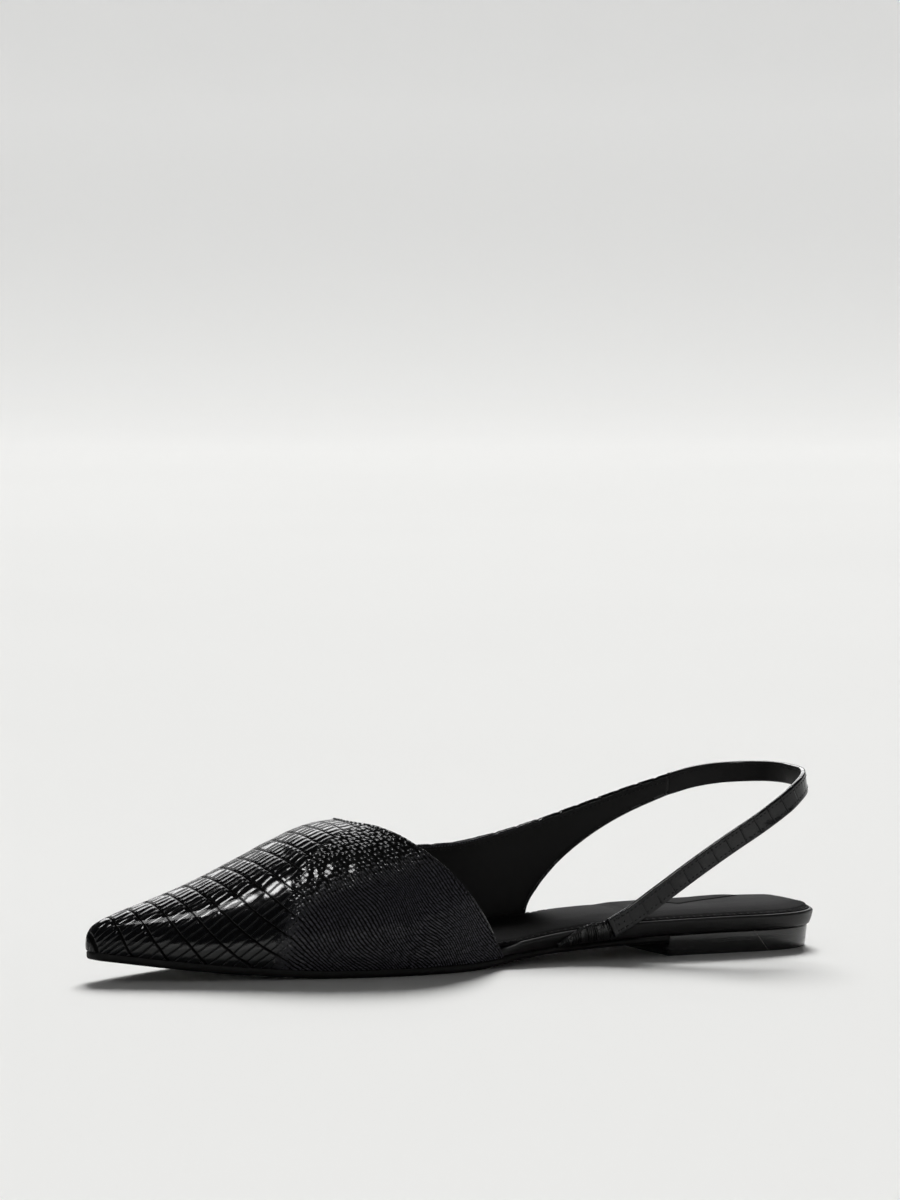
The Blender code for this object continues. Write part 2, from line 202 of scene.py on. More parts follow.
def barePart(side, x):
    # 1 where the edge of the insole is bare, 0 where the upper covers it
    corner = last["innerCorner"] if side > 0 else last["outerCorner"]
    return smoothStep(0.0, 1.0, (corner - x) / last["cornerRun"])


# Meshes

def gridFaces(grid, closed=False):
    if closed:
        grid = np.concatenate([grid, grid[:, :1]], axis=1)
    a = grid[:-1, :-1].ravel()
    b = grid[:-1, 1:].ravel()
    c = grid[1:, 1:].ravel()
    d = grid[1:, :-1].ravel()
    return [tuple(face) for face in np.stack([a, b, c, d], -1).tolist()]


def signedVolume(points, faces):
    total = 0.0
    for face in faces:
        corners = points[list(face)]
        for second, third in zip(corners[1:-1], corners[2:]):
            total += np.dot(corners[0], np.cross(second, third))
    return total


def makePiece(name, points, faces, finishes, faceFinish=None, layers=None):
    mesh = bpy.data.meshes.new(name)
    mesh.from_pydata(place(points).tolist(), [], faces)
    for finish in finishes:
        mesh.materials.append(finish)
    if faceFinish is not None:
        mesh.polygons.foreach_set("material_index", np.asarray(faceFinish, np.int32))
    for key, values in (layers or {}).items():
        layer = mesh.attributes.new(key, "FLOAT_VECTOR", "POINT")
        layer.data.foreach_set("vector", np.asarray(values, np.float32).ravel())
    mesh.shade_smooth()
    mesh.update()
    piece = bpy.data.objects.new(name, mesh)
    bpy.context.scene.collection.objects.link(piece)
    return piece


def loftPiece(name, rings, finishes, layers=None, ringFinish=None):
    # rings are closed loops, one behind the other, and the two end loops are filled
    count, around = rings.shape[:2]
    points = rings.reshape(-1, 3)
    grid = np.arange(count * around).reshape(count, around)
    faces = gridFaces(grid, closed=True)
    faceFinish = None
    if ringFinish is not None:
        faceFinish = list(ringFinish) * (count - 1) + [ringFinish[0]] * 2
    faces.append(tuple(int(k) for k in grid[0][::-1]))
    faces.append(tuple(int(k) for k in grid[-1]))
    if signedVolume(points, faces[:-2:7]) < 0.0:
        faces = [face[::-1] for face in faces]
    return makePiece(name, points, faces, finishes, faceFinish, layers)


def pathLength(points):
    steps = np.linalg.norm(np.diff(points, axis=0), axis=-1)
    return np.concatenate([[0.0], np.cumsum(steps)])


def ringPoints(x, profile, crown=None):
    # profile gives (inset, height) pairs from low to high, crown gives shares across and rises
    sides = {}
    for side in (1, -1):
        column = []
        for inset, height in profile(side, x):
            px, py = edgePoint(side, x, inset)
            column.append(np.stack([px, py, height + 0.0 * px], -1))
        sides[side] = np.stack(column, 1)
    middle = []
    if crown is not None:
        for share, rise in crown:
            point = sides[1][:, -1] * (1.0 - share) + sides[-1][:, -1] * share
            middle.append(point + np.stack([0.0 * x, 0.0 * x, rise], -1))
    parts = [sides[1]]
    if middle:
        parts.append(np.stack(middle, 1))
    parts.append(sides[-1][:, ::-1])
    return np.concatenate(parts, axis=1)


# Materials

def linearColour(code):
    parts = [int(code[k:k + 2], 16) / 255.0 for k in (1, 3, 5)]
    return tuple(c / 12.92 if c <= 0.04045 else ((c + 0.055) / 1.055) ** 2.4 for c in parts) + (1.0,)


def addNode(tree, kind, settings=None, links=None):
    # settings hold node properties and socket values, links hold the sockets or numbers that feed it
    node = tree.nodes.new(kind)
    for key, value in (settings or {}).items():
        if isinstance(key, str) and key in node.bl_rna.properties:
            setattr(node, key, value)
        else:
            node.inputs[key].default_value = value
    for key, source in (links or {}).items():
        if isinstance(source, bpy.types.NodeSocket):
            tree.links.new(source, node.inputs[key])
        else:
            node.inputs[key].default_value = source
    return node


def newFinish(name):
    finish = bpy.data.materials.new(name)
    finish.use_nodes = True
    finish.node_tree.nodes.clear()
    return finish, finish.node_tree


def closeFinish(tree, shaderSettings, shaderLinks, height=None, depth=None):
    # the shader itself, with the height of the surface in millimetres
    if height is not None:
        bump = addNode(tree, "ShaderNodeBump", {"Strength": 1.0, "Distance": depth or mm}, {"Height": height})
        shaderLinks = dict(shaderLinks, Normal=bump.outputs["Normal"])
    shader = addNode(tree, "ShaderNodeBsdfPrincipled", shaderSettings, shaderLinks)
    addNode(tree, "ShaderNodeOutputMaterial", None, {"Surface": shader.outputs[0]})


def wanderBy(tree, noise, reach, vector):
    # a place pushed to either side by a noise
    away = addNode(
        tree, "ShaderNodeVectorMath",
        {"operation": "SUBTRACT", 1: (0.5, 0.5, 0.5)}, {0: noise.outputs["Color"]},
    )
    moved = addNode(
        tree, "ShaderNodeVectorMath", {"operation": "MULTIPLY_ADD", 1: (*reach, 0.0)},
        {0: away.outputs[0], 2: vector},
    )
    return moved.outputs[0]


embossedLeather = {
    "top": "#06070a",
    # lighter grey of the flank scales, partly painted light on the lower sides
    "flankToneAndLight": "#3c3c43",
    # near black painted shade for the sunk grooves of the pattern
    "grooveShade": "#020202",
    "tileDepth": 0.26,             # depths and sizes in millimetres
    "beadDepth": 0.42,
    "fineDepth": 0.30,
    "poreDepth": 0.015,
    "rippleDepth": 0.12,
    "beadSize": (1.7, 1.8),
    "fineSize": (1.3, 2.2),
    "curl": (7.0, 5.0),            # how far the finest lines wander along and down
    "lineSlope": -0.38,
    "linePitch": 1.0,
    "warp": (0.14, 0.36),          # how far the tiles wander, in tiles
    "swell": (0.14, 1.1),          # of a tile down the sides, and more near the crest
    "roughness": (0.13, 0.50),     # polished tops, dull grooves
    "gleam": (0.03, 0.30),         # grooves hold no light
}


def makeEmbossedLeather():
    # glazed cowhide pressed with reptile scales: near black, with hard small highlights
    finish, tree = newFinish("glazedEmbossedLeather")
    leather = embossedLeather
    objectPlace = addNode(tree, "ShaderNodeTexCoord").outputs["Object"]
    tiles = addNode(tree, "ShaderNodeAttribute", {"attribute_name": "tilePlace"}).outputs["Vector"]
    scales = addNode(tree, "ShaderNodeAttribute", {"attribute_name": "scalePlace"}).outputs["Vector"]
    zones = addNode(tree, "ShaderNodeAttribute", {"attribute_name": "hideZone"}).outputs["Vector"]
    wander = addNode(tree, "ShaderNodeTexNoise", {"Scale": 160.0, "Detail": 2.0}, {"Vector": objectPlace})
    bent = wanderBy(tree, wander, leather["warp"], tiles)
    tilePart = addNode(tree, "ShaderNodeSeparateXYZ", None, {0: bent})
    column = addNode(tree, "ShaderNodeMath", {"operation": "FLOOR"}, {0: tilePart.outputs["X"]}).outputs[0]
    columnShare = addNode(
        tree, "ShaderNodeMath", {"operation": "FRACT"}, {0: tilePart.outputs["X"]},
    ).outputs[0]
    luck = addNode(tree, "ShaderNodeTexWhiteNoise", {"noise_dimensions": "1D"}, {"W": column})
    luckPart = addNode(tree, "ShaderNodeSeparateColor", None, {0: luck.outputs["Color"]})
    stretch = addNode(
        tree, "ShaderNodeMath", {"operation": "MULTIPLY_ADD"},
        {0: luckPart.outputs["Green"], 1: 0.22, 2: 0.9},
    ).outputs[0]
    row = addNode(
        tree, "ShaderNodeMath", {"operation": "MULTIPLY_ADD"},
        {0: tilePart.outputs["Y"], 1: stretch, 2: luckPart.outputs["Red"]},
    ).outputs[0]
    rowShare = addNode(tree, "ShaderNodeMath", {"operation": "FRACT"}, {0: row}).outputs[0]
    columnEdge = addNode(
        tree, "ShaderNodeMath", {"operation": "MINIMUM"},
        {
            0: columnShare,
            1: addNode(
                tree, "ShaderNodeMath", {"operation": "SUBTRACT"}, {0: 1.0, 1: columnShare},
            ).outputs[0],
        },
    ).outputs[0]
    rowEdge = addNode(
        tree, "ShaderNodeMath", {"operation": "MINIMUM"},
        {
            0: rowShare,
            1: addNode(tree, "ShaderNodeMath", {"operation": "SUBTRACT"}, {0: 1.0, 1: rowShare}).outputs[0],
        },
    ).outputs[0]
    columnRise = addNode(
        tree, "ShaderNodeMapRange",
        {"interpolation_type": "SMOOTHSTEP", "From Min": 0.015, "From Max": 0.075}, {"Value": columnEdge},
    ).outputs["Result"]
    rowRise = addNode(
        tree, "ShaderNodeMapRange",
        {"interpolation_type": "SMOOTHSTEP", "From Min": 0.02, "From Max": 0.16}, {"Value": rowEdge},
    ).outputs["Result"]
    tileRise = addNode(
        tree, "ShaderNodeMath", {"operation": "MINIMUM"},
        {
            0: columnRise,
            1: addNode(
                tree, "ShaderNodeMath", {"operation": "MULTIPLY_ADD"}, {0: rowRise, 1: 0.6, 2: 0.4},
            ).outputs[0],
        },
    ).outputs[0]
    # the third number of tilePlace tells where the columns are cut into rows
    rowed = addNode(tree, "ShaderNodeSeparateXYZ", None, {0: tiles}).outputs["Z"]
    unrowed = addNode(
        tree, "ShaderNodeMath", {"operation": "MULTIPLY"},
        {
            0: columnRise,
            1: addNode(tree, "ShaderNodeMath", {"operation": "SUBTRACT"}, {0: 1.0, 1: rowed}).outputs[0],
        },
    ).outputs[0]
    tileRise = addNode(
        tree, "ShaderNodeMath", {"operation": "MULTIPLY_ADD"}, {0: tileRise, 1: rowed, 2: unrowed},
    ).outputs[0]
    # the tiles are flat down the sides and swell like cushions near the crest
    scalePart = addNode(tree, "ShaderNodeSeparateXYZ", None, {0: scales})
    flat, more = leather["swell"]
    swell = addNode(
        tree, "ShaderNodeMath", {"operation": "MULTIPLY_ADD"},
        {
            0: addNode(
                tree, "ShaderNodeMapRange",
                {"interpolation_type": "SMOOTHSTEP", "From Min": 20.0, "From Max": 11.0},
                {"Value": scalePart.outputs["Y"]},
            ).outputs["Result"],
            1: more, 2: flat,
        },
    ).outputs[0]
    rowRound = addNode(
        tree, "ShaderNodeMath", {"operation": "MULTIPLY"},
        {
            0: rowEdge,
            1: addNode(tree, "ShaderNodeMath", {"operation": "SUBTRACT"}, {0: 1.0, 1: rowEdge}).outputs[0],
        },
    ).outputs[0]
    columnRound = addNode(
        tree, "ShaderNodeMath", {"operation": "MINIMUM"},
        {
            0: addNode(
                tree, "ShaderNodeMath", {"operation": "MULTIPLY"}, {0: columnEdge, 1: 6.0},
            ).outputs[0],
            1: 1.0,
        },
    ).outputs[0]
    dome = addNode(
        tree, "ShaderNodeMath", {"operation": "MULTIPLY"},
        {
            0: addNode(tree, "ShaderNodeMath", {"operation": "MULTIPLY"}, {0: rowRound, 1: 4.0}).outputs[0],
            1: columnRound,
        },
    ).outputs[0]
    dome = addNode(
        tree, "ShaderNodeMath", {"operation": "MULTIPLY"},
        {
            0: dome,
            1: addNode(tree, "ShaderNodeMath", {"operation": "MULTIPLY"}, {0: swell, 1: rowed}).outputs[0],
        },
    ).outputs[0]
    tileHeight = addNode(tree, "ShaderNodeMath", {"operation": "ADD"}, {0: tileRise, 1: dome}).outputs[0]

    zonePart = addNode(tree, "ShaderNodeSeparateXYZ", None, {0: zones})
    # beads in loose rows, each a small dome that catches its own light
    long, wide = leather["beadSize"]
    beadPlace = addNode(tree, "ShaderNodeMapping", {"Scale": (1 / long, 1 / wide, 0.0)}, {"Vector": scales})
    beads = addNode(
        tree, "ShaderNodeTexVoronoi",
        {"voronoi_dimensions": "2D", "Scale": 1.0, "Randomness": 0.5}, {"Vector": beadPlace.outputs[0]},
    )
    roundness = addNode(
        tree, "ShaderNodeMath", {"operation": "MULTIPLY"},
        {0: beads.outputs["Distance"], 1: beads.outputs["Distance"]},
    ).outputs[0]
    beadHeight = addNode(
        tree, "ShaderNodeMath", {"operation": "MAXIMUM"},
        {
            0: addNode(
                tree, "ShaderNodeMath", {"operation": "MULTIPLY_ADD"}, {0: roundness, 1: -3.4, 2: 1.0},
            ).outputs[0],
            1: 0.0,
        },
    ).outputs[0]
    # the smallest scales run in curling lines, like a finger print
    curl = addNode(tree, "ShaderNodeTexNoise", {"Scale": 55.0, "Detail": 0.0}, {"Vector": objectPlace})
    curled = wanderBy(tree, curl, leather["curl"], scales)
    long, wide = leather["fineSize"]
    finePlace = addNode(tree, "ShaderNodeMapping", {"Scale": (1 / long, 1 / wide, 0.0)}, {"Vector": curled})
    fine = addNode(
        tree, "ShaderNodeTexVoronoi",
        {"voronoi_dimensions": "2D", "feature": "DISTANCE_TO_EDGE", "Scale": 1.0, "Randomness": 0.8},
        {"Vector": finePlace.outputs[0]},
    )
    curledPart = addNode(tree, "ShaderNodeSeparateXYZ", None, {0: curled})
    line = addNode(
        tree, "ShaderNodeMath", {"operation": "MULTIPLY_ADD"},
        {0: curledPart.outputs["Y"], 1: leather["lineSlope"], 2: curledPart.outputs["X"]},
    ).outputs[0]
    fineLine = addNode(
        tree, "ShaderNodeMapRange",
        {"interpolation_type": "SMOOTHSTEP", "From Min": 0.04, "From Max": 0.34},
        {
            "Value": addNode(
                tree, "ShaderNodeMath", {"operation": "PINGPONG"}, {0: line, 1: leather["linePitch"] / 2.0},
            ).outputs[0],
        },
    ).outputs["Result"]
    broken = addNode(
        tree, "ShaderNodeMapRange", {"interpolation_type": "SMOOTHSTEP", "From Min": 0.0, "From Max": 0.16},
        {"Value": fine.outputs["Distance"]},
    ).outputs["Result"]
    fineHeight = addNode(
        tree, "ShaderNodeMath", {"operation": "MULTIPLY"},
        {
            0: fineLine,
            1: addNode(
                tree, "ShaderNodeMath", {"operation": "MULTIPLY_ADD"}, {0: broken, 1: 0.65, 2: 0.35},
            ).outputs[0],
        },
    ).outputs[0]

    height = 0.0
    raisedPart = 0.0
    allZones = 0.0
    for axis, rise, top, depth in (
        ("X", tileHeight, tileRise, "tileDepth"),
        ("Y", beadHeight, beadHeight, "beadDepth"),
        ("Z", fineHeight, fineHeight, "fineDepth"),
    ):
        zone = zonePart.outputs[axis]
        height = addNode(
            tree, "ShaderNodeMath", {"operation": "MULTIPLY_ADD"},
            {
                0: addNode(
                    tree, "ShaderNodeMath", {"operation": "MULTIPLY"}, {0: rise, 1: leather[depth]},
                ).outputs[0],
                1: zone, 2: height,
            },
        ).outputs[0]
        raisedPart = addNode(
            tree, "ShaderNodeMath", {"operation": "MULTIPLY_ADD"}, {0: top, 1: zone, 2: raisedPart},
        ).outputs[0]
        allZones = addNode(tree, "ShaderNodeMath", {"operation": "ADD"}, {0: allZones, 1: zone}).outputs[0]
    pores = addNode(tree, "ShaderNodeTexNoise", {"Scale": 900.0, "Detail": 3.0}, {"Vector": objectPlace})
    ripple = addNode(tree, "ShaderNodeTexNoise", {"Scale": 260.0, "Detail": 1.0}, {"Vector": objectPlace})
    height = addNode(
        tree, "ShaderNodeMath", {"operation": "MULTIPLY_ADD"},
        {0: pores.outputs["Fac"], 1: leather["poreDepth"], 2: height},
    ).outputs[0]
    height = addNode(
        tree, "ShaderNodeMath", {"operation": "MULTIPLY_ADD"},
        {0: ripple.outputs["Fac"], 1: leather["rippleDepth"], 2: height},
    ).outputs[0]

    # painted shade: the sunk grooves between tiles, beads and scales are mixed toward a near black colour,
    # darker where the pattern is deeper, while the tops keep their own colour
    sunk = addNode(
        tree, "ShaderNodeMapRange",
        {"interpolation_type": "SMOOTHSTEP", "From Min": 0.15, "From Max": 0.85},
        {
            "Value": addNode(
                tree, "ShaderNodeMath", {"operation": "SUBTRACT"}, {0: allZones, 1: raisedPart},
            ).outputs[0],
        },
    ).outputs["Result"]
    unshadedTop = addNode(tree, "ShaderNodeMath", {"operation": "SUBTRACT"}, {0: 1.0, 1: sunk}).outputs[0]
    # the small scales of the flanks are buffed less; their lighter grey tops are partly their own tone and
    # partly painted light on the lower sides
    tops = addNode(
        tree, "ShaderNodeMix",
        {"data_type": "RGBA", 6: linearColour(leather["top"]), 7: linearColour(leather["flankToneAndLight"])},
        {0: zonePart.outputs["Z"]},
    ).outputs[2]
    colour = addNode(
        tree, "ShaderNodeMix", {"data_type": "RGBA", 6: linearColour(leather["grooveShade"])},
        {0: unshadedTop, 7: tops},
    ).outputs[2]
    smudge = addNode(tree, "ShaderNodeTexNoise", {"Scale": 45.0, "Detail": 3.0}, {"Vector": objectPlace})
    roughTop = addNode(
        tree, "ShaderNodeMath", {"operation": "MULTIPLY_ADD"},
        {0: smudge.outputs["Fac"], 1: 0.12, 2: leather["roughness"][0] - 0.06},
    ).outputs[0]
    roughTop = addNode(
        tree, "ShaderNodeMath", {"operation": "MULTIPLY_ADD"},
        {0: zonePart.outputs["Z"], 1: 0.2, 2: roughTop},
    ).outputs[0]
    rough = addNode(
        tree, "ShaderNodeMix", {"data_type": "FLOAT", 2: leather["roughness"][1]}, {0: unshadedTop, 3: roughTop},
    )
    low, high = leather["gleam"]
    # the beads stand out of the polish and take the most of it
    gleam = addNode(
        tree, "ShaderNodeMath", {"operation": "MULTIPLY_ADD"}, {0: unshadedTop, 1: high - low, 2: low},
    ).outputs[0]
    gleam = addNode(
        tree, "ShaderNodeMath", {"operation": "MULTIPLY_ADD"},
        {
            0: addNode(
                tree, "ShaderNodeMath", {"operation": "MULTIPLY"}, {0: zonePart.outputs["Y"], 1: unshadedTop},
            ).outputs[0],
            1: 0.45, 2: gleam,
        },
    ).outputs[0]
    closeFinish(
        tree, {"IOR": 1.46, "Coat Roughness": 0.06, "Coat IOR": 1.5},
        {
            "Base Color": colour, "Roughness": rough.outputs[0], "Specular IOR Level": gleam,
            "Coat Weight": addNode(
                tree, "ShaderNodeMath", {"operation": "MULTIPLY"}, {0: gleam, 1: 0.45},
            ).outputs[0],
        },
        height,
    )
    return finish


smoothLeathers = {
    # name: colour, darker colour, roughness, sheen of its finish, grain size and depth in millimetres
    "smoothSideLining": ("#080708", "#050505", 0.46, 0.20, 0.8, 0.025),
    "paddedSockLeather": ("#141314", "#0d0c0d", 0.60, 0.035, 0.9, 0.035),
    "wrappedRandLeather": ("#161516", "#0c0b0c", 0.36, 0.32, 0.9, 0.030),
}


def makeSmoothLeather(name):
    # aniline black leather with a fine even grain: satin, a little lighter where it is rubbed
    finish, tree = newFinish(name)
    light, dark, roughness, gloss, grainSize, grainDepth = smoothLeathers[name]
    objectPlace = addNode(tree, "ShaderNodeTexCoord").outputs["Object"]
    grain = addNode(
        tree, "ShaderNodeTexVoronoi",
        {"feature": "DISTANCE_TO_EDGE", "Scale": 1.0 / (grainSize * mm), "Randomness": 1.0},
        {"Vector": objectPlace},
    )
    grainRise = addNode(
        tree, "ShaderNodeMapRange", {"interpolation_type": "SMOOTHSTEP", "From Min": 0.0, "From Max": 0.3},
        {"Value": grain.outputs["Distance"]},
    ).outputs["Result"]
    cloud = addNode(tree, "ShaderNodeTexNoise", {"Scale": 38.0, "Detail": 4.0}, {"Vector": objectPlace})
    wave = addNode(tree, "ShaderNodeTexNoise", {"Scale": 110.0, "Detail": 2.0}, {"Vector": objectPlace})
    colour = addNode(
        tree, "ShaderNodeMix", {"data_type": "RGBA", 6: linearColour(dark), 7: linearColour(light)},
        {
            0: addNode(
                tree, "ShaderNodeMapRange",
                {"interpolation_type": "SMOOTHSTEP", "From Min": 0.3, "From Max": 0.75},
                {"Value": cloud.outputs["Fac"]},
            ).outputs["Result"],
        },
    ).outputs[2]
    rough = addNode(
        tree, "ShaderNodeMath", {"operation": "MULTIPLY_ADD"},
        {0: cloud.outputs["Fac"], 1: 0.16, 2: roughness - 0.08},
    ).outputs[0]
    height = addNode(
        tree, "ShaderNodeMath", {"operation": "MULTIPLY"}, {0: grainRise, 1: grainDepth},
    ).outputs[0]
    height = addNode(
        tree, "ShaderNodeMath", {"operation": "MULTIPLY_ADD"}, {0: wave.outputs["Fac"], 1: 0.1, 2: height},
    ).outputs[0]
    closeFinish(
        tree, {"IOR": 1.48, "Specular IOR Level": gloss}, {"Base Color": colour, "Roughness": rough}, height,
    )
    return finish


mouldedBlacks = {
    # name: colour, darker colour, roughness, sheen, speckle size in millimetres, relief, coat
    "mouldedThinRubber": ("#0a0a0a", "#050505", 0.48, 0.16, 0.5, 0.02, 0.0),
    "glossHeelBlock": ("#19191a", "#0f0f10", 0.24, 0.5, 1.2, 0.01, 0.25),
}

heelScratch = {
    "place": (-102.27, 7.18),      # a point it passes, x and z in the frame's millimetres
    "across": (0.784, -0.621),     # square to it
    "halfWidth": 0.17,
    "top": 7.9,
    "colour": "#5d5b59",
}


def addScratch(tree, objectPlace, cloud, shade):
    # one light scratch down the inner side of the heel
    part = addNode(tree, "ShaderNodeSeparateXYZ", None, {0: objectPlace})
    x, z = (value * mm for value in heelScratch["place"])
    wide = heelScratch["halfWidth"] * mm
    beside = 0.0
    for axis, middle, share in zip("XZ", (x, z), heelScratch["across"]):
        away = addNode(
            tree, "ShaderNodeMath", {"operation": "SUBTRACT"}, {0: part.outputs[axis], 1: middle},
        ).outputs[0]
        beside = addNode(
            tree, "ShaderNodeMath", {"operation": "MULTIPLY_ADD"}, {0: away, 1: share, 2: beside},
        ).outputs[0]
    mark = addNode(
        tree, "ShaderNodeMapRange",
        {"interpolation_type": "SMOOTHSTEP", "From Min": wide, "From Max": 0.3 * wide},
        {"Value": addNode(tree, "ShaderNodeMath", {"operation": "ABSOLUTE"}, {0: beside}).outputs[0]},
    ).outputs["Result"]
    top = heelScratch["top"] * mm
    for socket, low, high in (
        (part.outputs["Z"], top, top - 0.5 * mm), (part.outputs["Y"], 0.0, 5.0 * mm), (cloud, 0.3, 0.5),
    ):
        mark = addNode(
            tree, "ShaderNodeMath", {"operation": "MULTIPLY"},
            {
                0: mark,
                1: addNode(
                    tree, "ShaderNodeMapRange",
                    {"interpolation_type": "SMOOTHSTEP", "From Min": low, "From Max": high},
                    {"Value": socket},
                ).outputs["Result"],
            },
        ).outputs[0]
    return addNode(
        tree, "ShaderNodeMix", {"data_type": "RGBA", 7: linearColour(heelScratch["colour"])},
        {0: mark, 6: shade},
    ).outputs[2]


def makeMouldedBlack(name):
    # black moulded in one piece: an even satin skin with faint flow marks
    finish, tree = newFinish(name)
    light, dark, roughness, gloss, speckle, relief, coat = mouldedBlacks[name]
    objectPlace = addNode(tree, "ShaderNodeTexCoord").outputs["Object"]
    skin = addNode(
        tree, "ShaderNodeTexNoise", {"Scale": 1.0 / (speckle * mm), "Detail": 3.0}, {"Vector": objectPlace},
    )
    longPlace = addNode(tree, "ShaderNodeMapping", {"Scale": (30.0, 30.0, 900.0)}, {"Vector": objectPlace})
    flow = addNode(
        tree, "ShaderNodeTexNoise", {"Scale": 1.0, "Detail": 2.0}, {"Vector": longPlace.outputs[0]},
    )
    cloud = addNode(tree, "ShaderNodeTexNoise", {"Scale": 60.0, "Detail": 4.0}, {"Vector": objectPlace})
    shade = addNode(
        tree, "ShaderNodeMix", {"data_type": "RGBA", 6: linearColour(dark), 7: linearColour(light)},
        {
            0: addNode(
                tree, "ShaderNodeMapRange",
                {"interpolation_type": "SMOOTHSTEP", "From Min": 0.35, "From Max": 0.7},
                {"Value": cloud.outputs["Fac"]},
            ).outputs["Result"],
        },
    ).outputs[2]
    if name == "glossHeelBlock":
        shade = addScratch(tree, objectPlace, cloud.outputs["Fac"], shade)
    rough = addNode(
        tree, "ShaderNodeMath", {"operation": "MULTIPLY_ADD"},
        {0: flow.outputs["Fac"], 1: 0.14, 2: roughness - 0.05},
    ).outputs[0]
    height = addNode(
        tree, "ShaderNodeMath", {"operation": "MULTIPLY"}, {0: skin.outputs["Fac"], 1: relief},
    ).outputs[0]
    height = addNode(
        tree, "ShaderNodeMath", {"operation": "MULTIPLY_ADD"}, {0: flow.outputs["Fac"], 1: 0.02, 2: height},
    ).outputs[0]
    closeFinish(
        tree, {"IOR": 1.5, "Specular IOR Level": gloss, "Coat Weight": coat, "Coat Roughness": 0.1},
        {"Base Color": shade, "Roughness": rough}, height,
    )
    return finish


def makeGatheredLeather():
    # thin glazed leather drawn up over elastic: glossy, with small cracks between the gathers
    finish, tree = newFinish("gatheredGlazedLeather")
    objectPlace = addNode(tree, "ShaderNodeTexCoord").outputs["Object"]
    cracks = addNode(
        tree, "ShaderNodeTexVoronoi",
        {"feature": "DISTANCE_TO_EDGE", "Scale": 900.0}, {"Vector": objectPlace},
    )
    crackRise = addNode(
        tree, "ShaderNodeMapRange", {"interpolation_type": "SMOOTHSTEP", "From Min": 0.0, "From Max": 0.25},
        {"Value": cracks.outputs["Distance"]},
    ).outputs["Result"]
    cloud = addNode(tree, "ShaderNodeTexNoise", {"Scale": 300.0, "Detail": 3.0}, {"Vector": objectPlace})
    colour = addNode(
        tree, "ShaderNodeMix",
        {"data_type": "RGBA", 6: linearColour("#030303"), 7: linearColour("#070708")}, {0: crackRise},
    ).outputs[2]
    rough = addNode(
        tree, "ShaderNodeMath", {"operation": "MULTIPLY_ADD"}, {0: cloud.outputs["Fac"], 1: 0.2, 2: 0.1},
    ).outputs[0]
    height = addNode(
        tree, "ShaderNodeMath", {"operation": "MULTIPLY_ADD"},
        {
            0: cloud.outputs["Fac"], 1: 0.2,
            2: addNode(
                tree, "ShaderNodeMath", {"operation": "MULTIPLY"}, {0: crackRise, 1: 0.06},
            ).outputs[0],
        },
    ).outputs[0]
    closeFinish(
        tree, {"IOR": 1.5, "Coat Weight": 0.3, "Coat Roughness": 0.08},
        {"Base Color": colour, "Roughness": rough}, height,
    )
    return finish


def makeWovenLabel():
    # satin woven polyester ribbon: fine ribs across, matt, with a soft sheen
    finish, tree = newFinish("wovenSatinRibbon")
    objectPlace = addNode(tree, "ShaderNodeTexCoord").outputs["Object"]
    ribs = addNode(
        tree, "ShaderNodeTexWave", {"bands_direction": "DIAGONAL", "Scale": 320.0, "Distortion": 0.4},
        {"Vector": objectPlace},
    )
    cross = addNode(
        tree, "ShaderNodeTexWave", {"bands_direction": "Y", "Scale": 420.0}, {"Vector": objectPlace},
    )
    weave = addNode(
        tree, "ShaderNodeMath", {"operation": "MULTIPLY"},
        {0: ribs.outputs["Fac"], 1: cross.outputs["Fac"]},
    ).outputs[0]
    closeFinish(
        tree, {"IOR": 1.5, "Roughness": 0.7, "Specular IOR Level": 0.06},
        {
            "Base Color": addNode(
                tree, "ShaderNodeMix",
                {"data_type": "RGBA", 6: linearColour("#030303"), 7: linearColour("#0b0b0c")}, {0: weave},
            ).outputs[2],
        },
        addNode(tree, "ShaderNodeMath", {"operation": "MULTIPLY"}, {0: weave, 1: 0.06}).outputs[0],
    )
    return finish


threads = {
    # name: colour, lighter colour, roughness, sheen
    "bondedNylonThread": ("#030303", "#080808", 0.55, 0.12),
    "waxedSockThread": ("#040404", "#0d0d0d", 0.50, 0.10),
}


def makeThread(name):
    # twisted thread with a waxy shine, the twist drawn coarse so it shows
    finish, tree = newFinish(name)
    dark, light, roughness, gloss = threads[name]
    objectPlace = addNode(tree, "ShaderNodeTexCoord").outputs["Object"]
    twist = addNode(
        tree, "ShaderNodeTexWave", {"bands_direction": "DIAGONAL", "Scale": 900.0, "Distortion": 0.3},
        {"Vector": objectPlace},
    )
    closeFinish(
        tree, {"IOR": 1.53, "Roughness": roughness, "Specular IOR Level": gloss},
        {
            "Base Color": addNode(
                tree, "ShaderNodeMix", {"data_type": "RGBA", 6: linearColour(dark), 7: linearColour(light)},
                {0: twist.outputs["Fac"]},
            ).outputs[2],
        },
        addNode(
            tree, "ShaderNodeMath", {"operation": "MULTIPLY"}, {0: twist.outputs["Fac"], 1: 0.05},
        ).outputs[0],
    )
    return finish


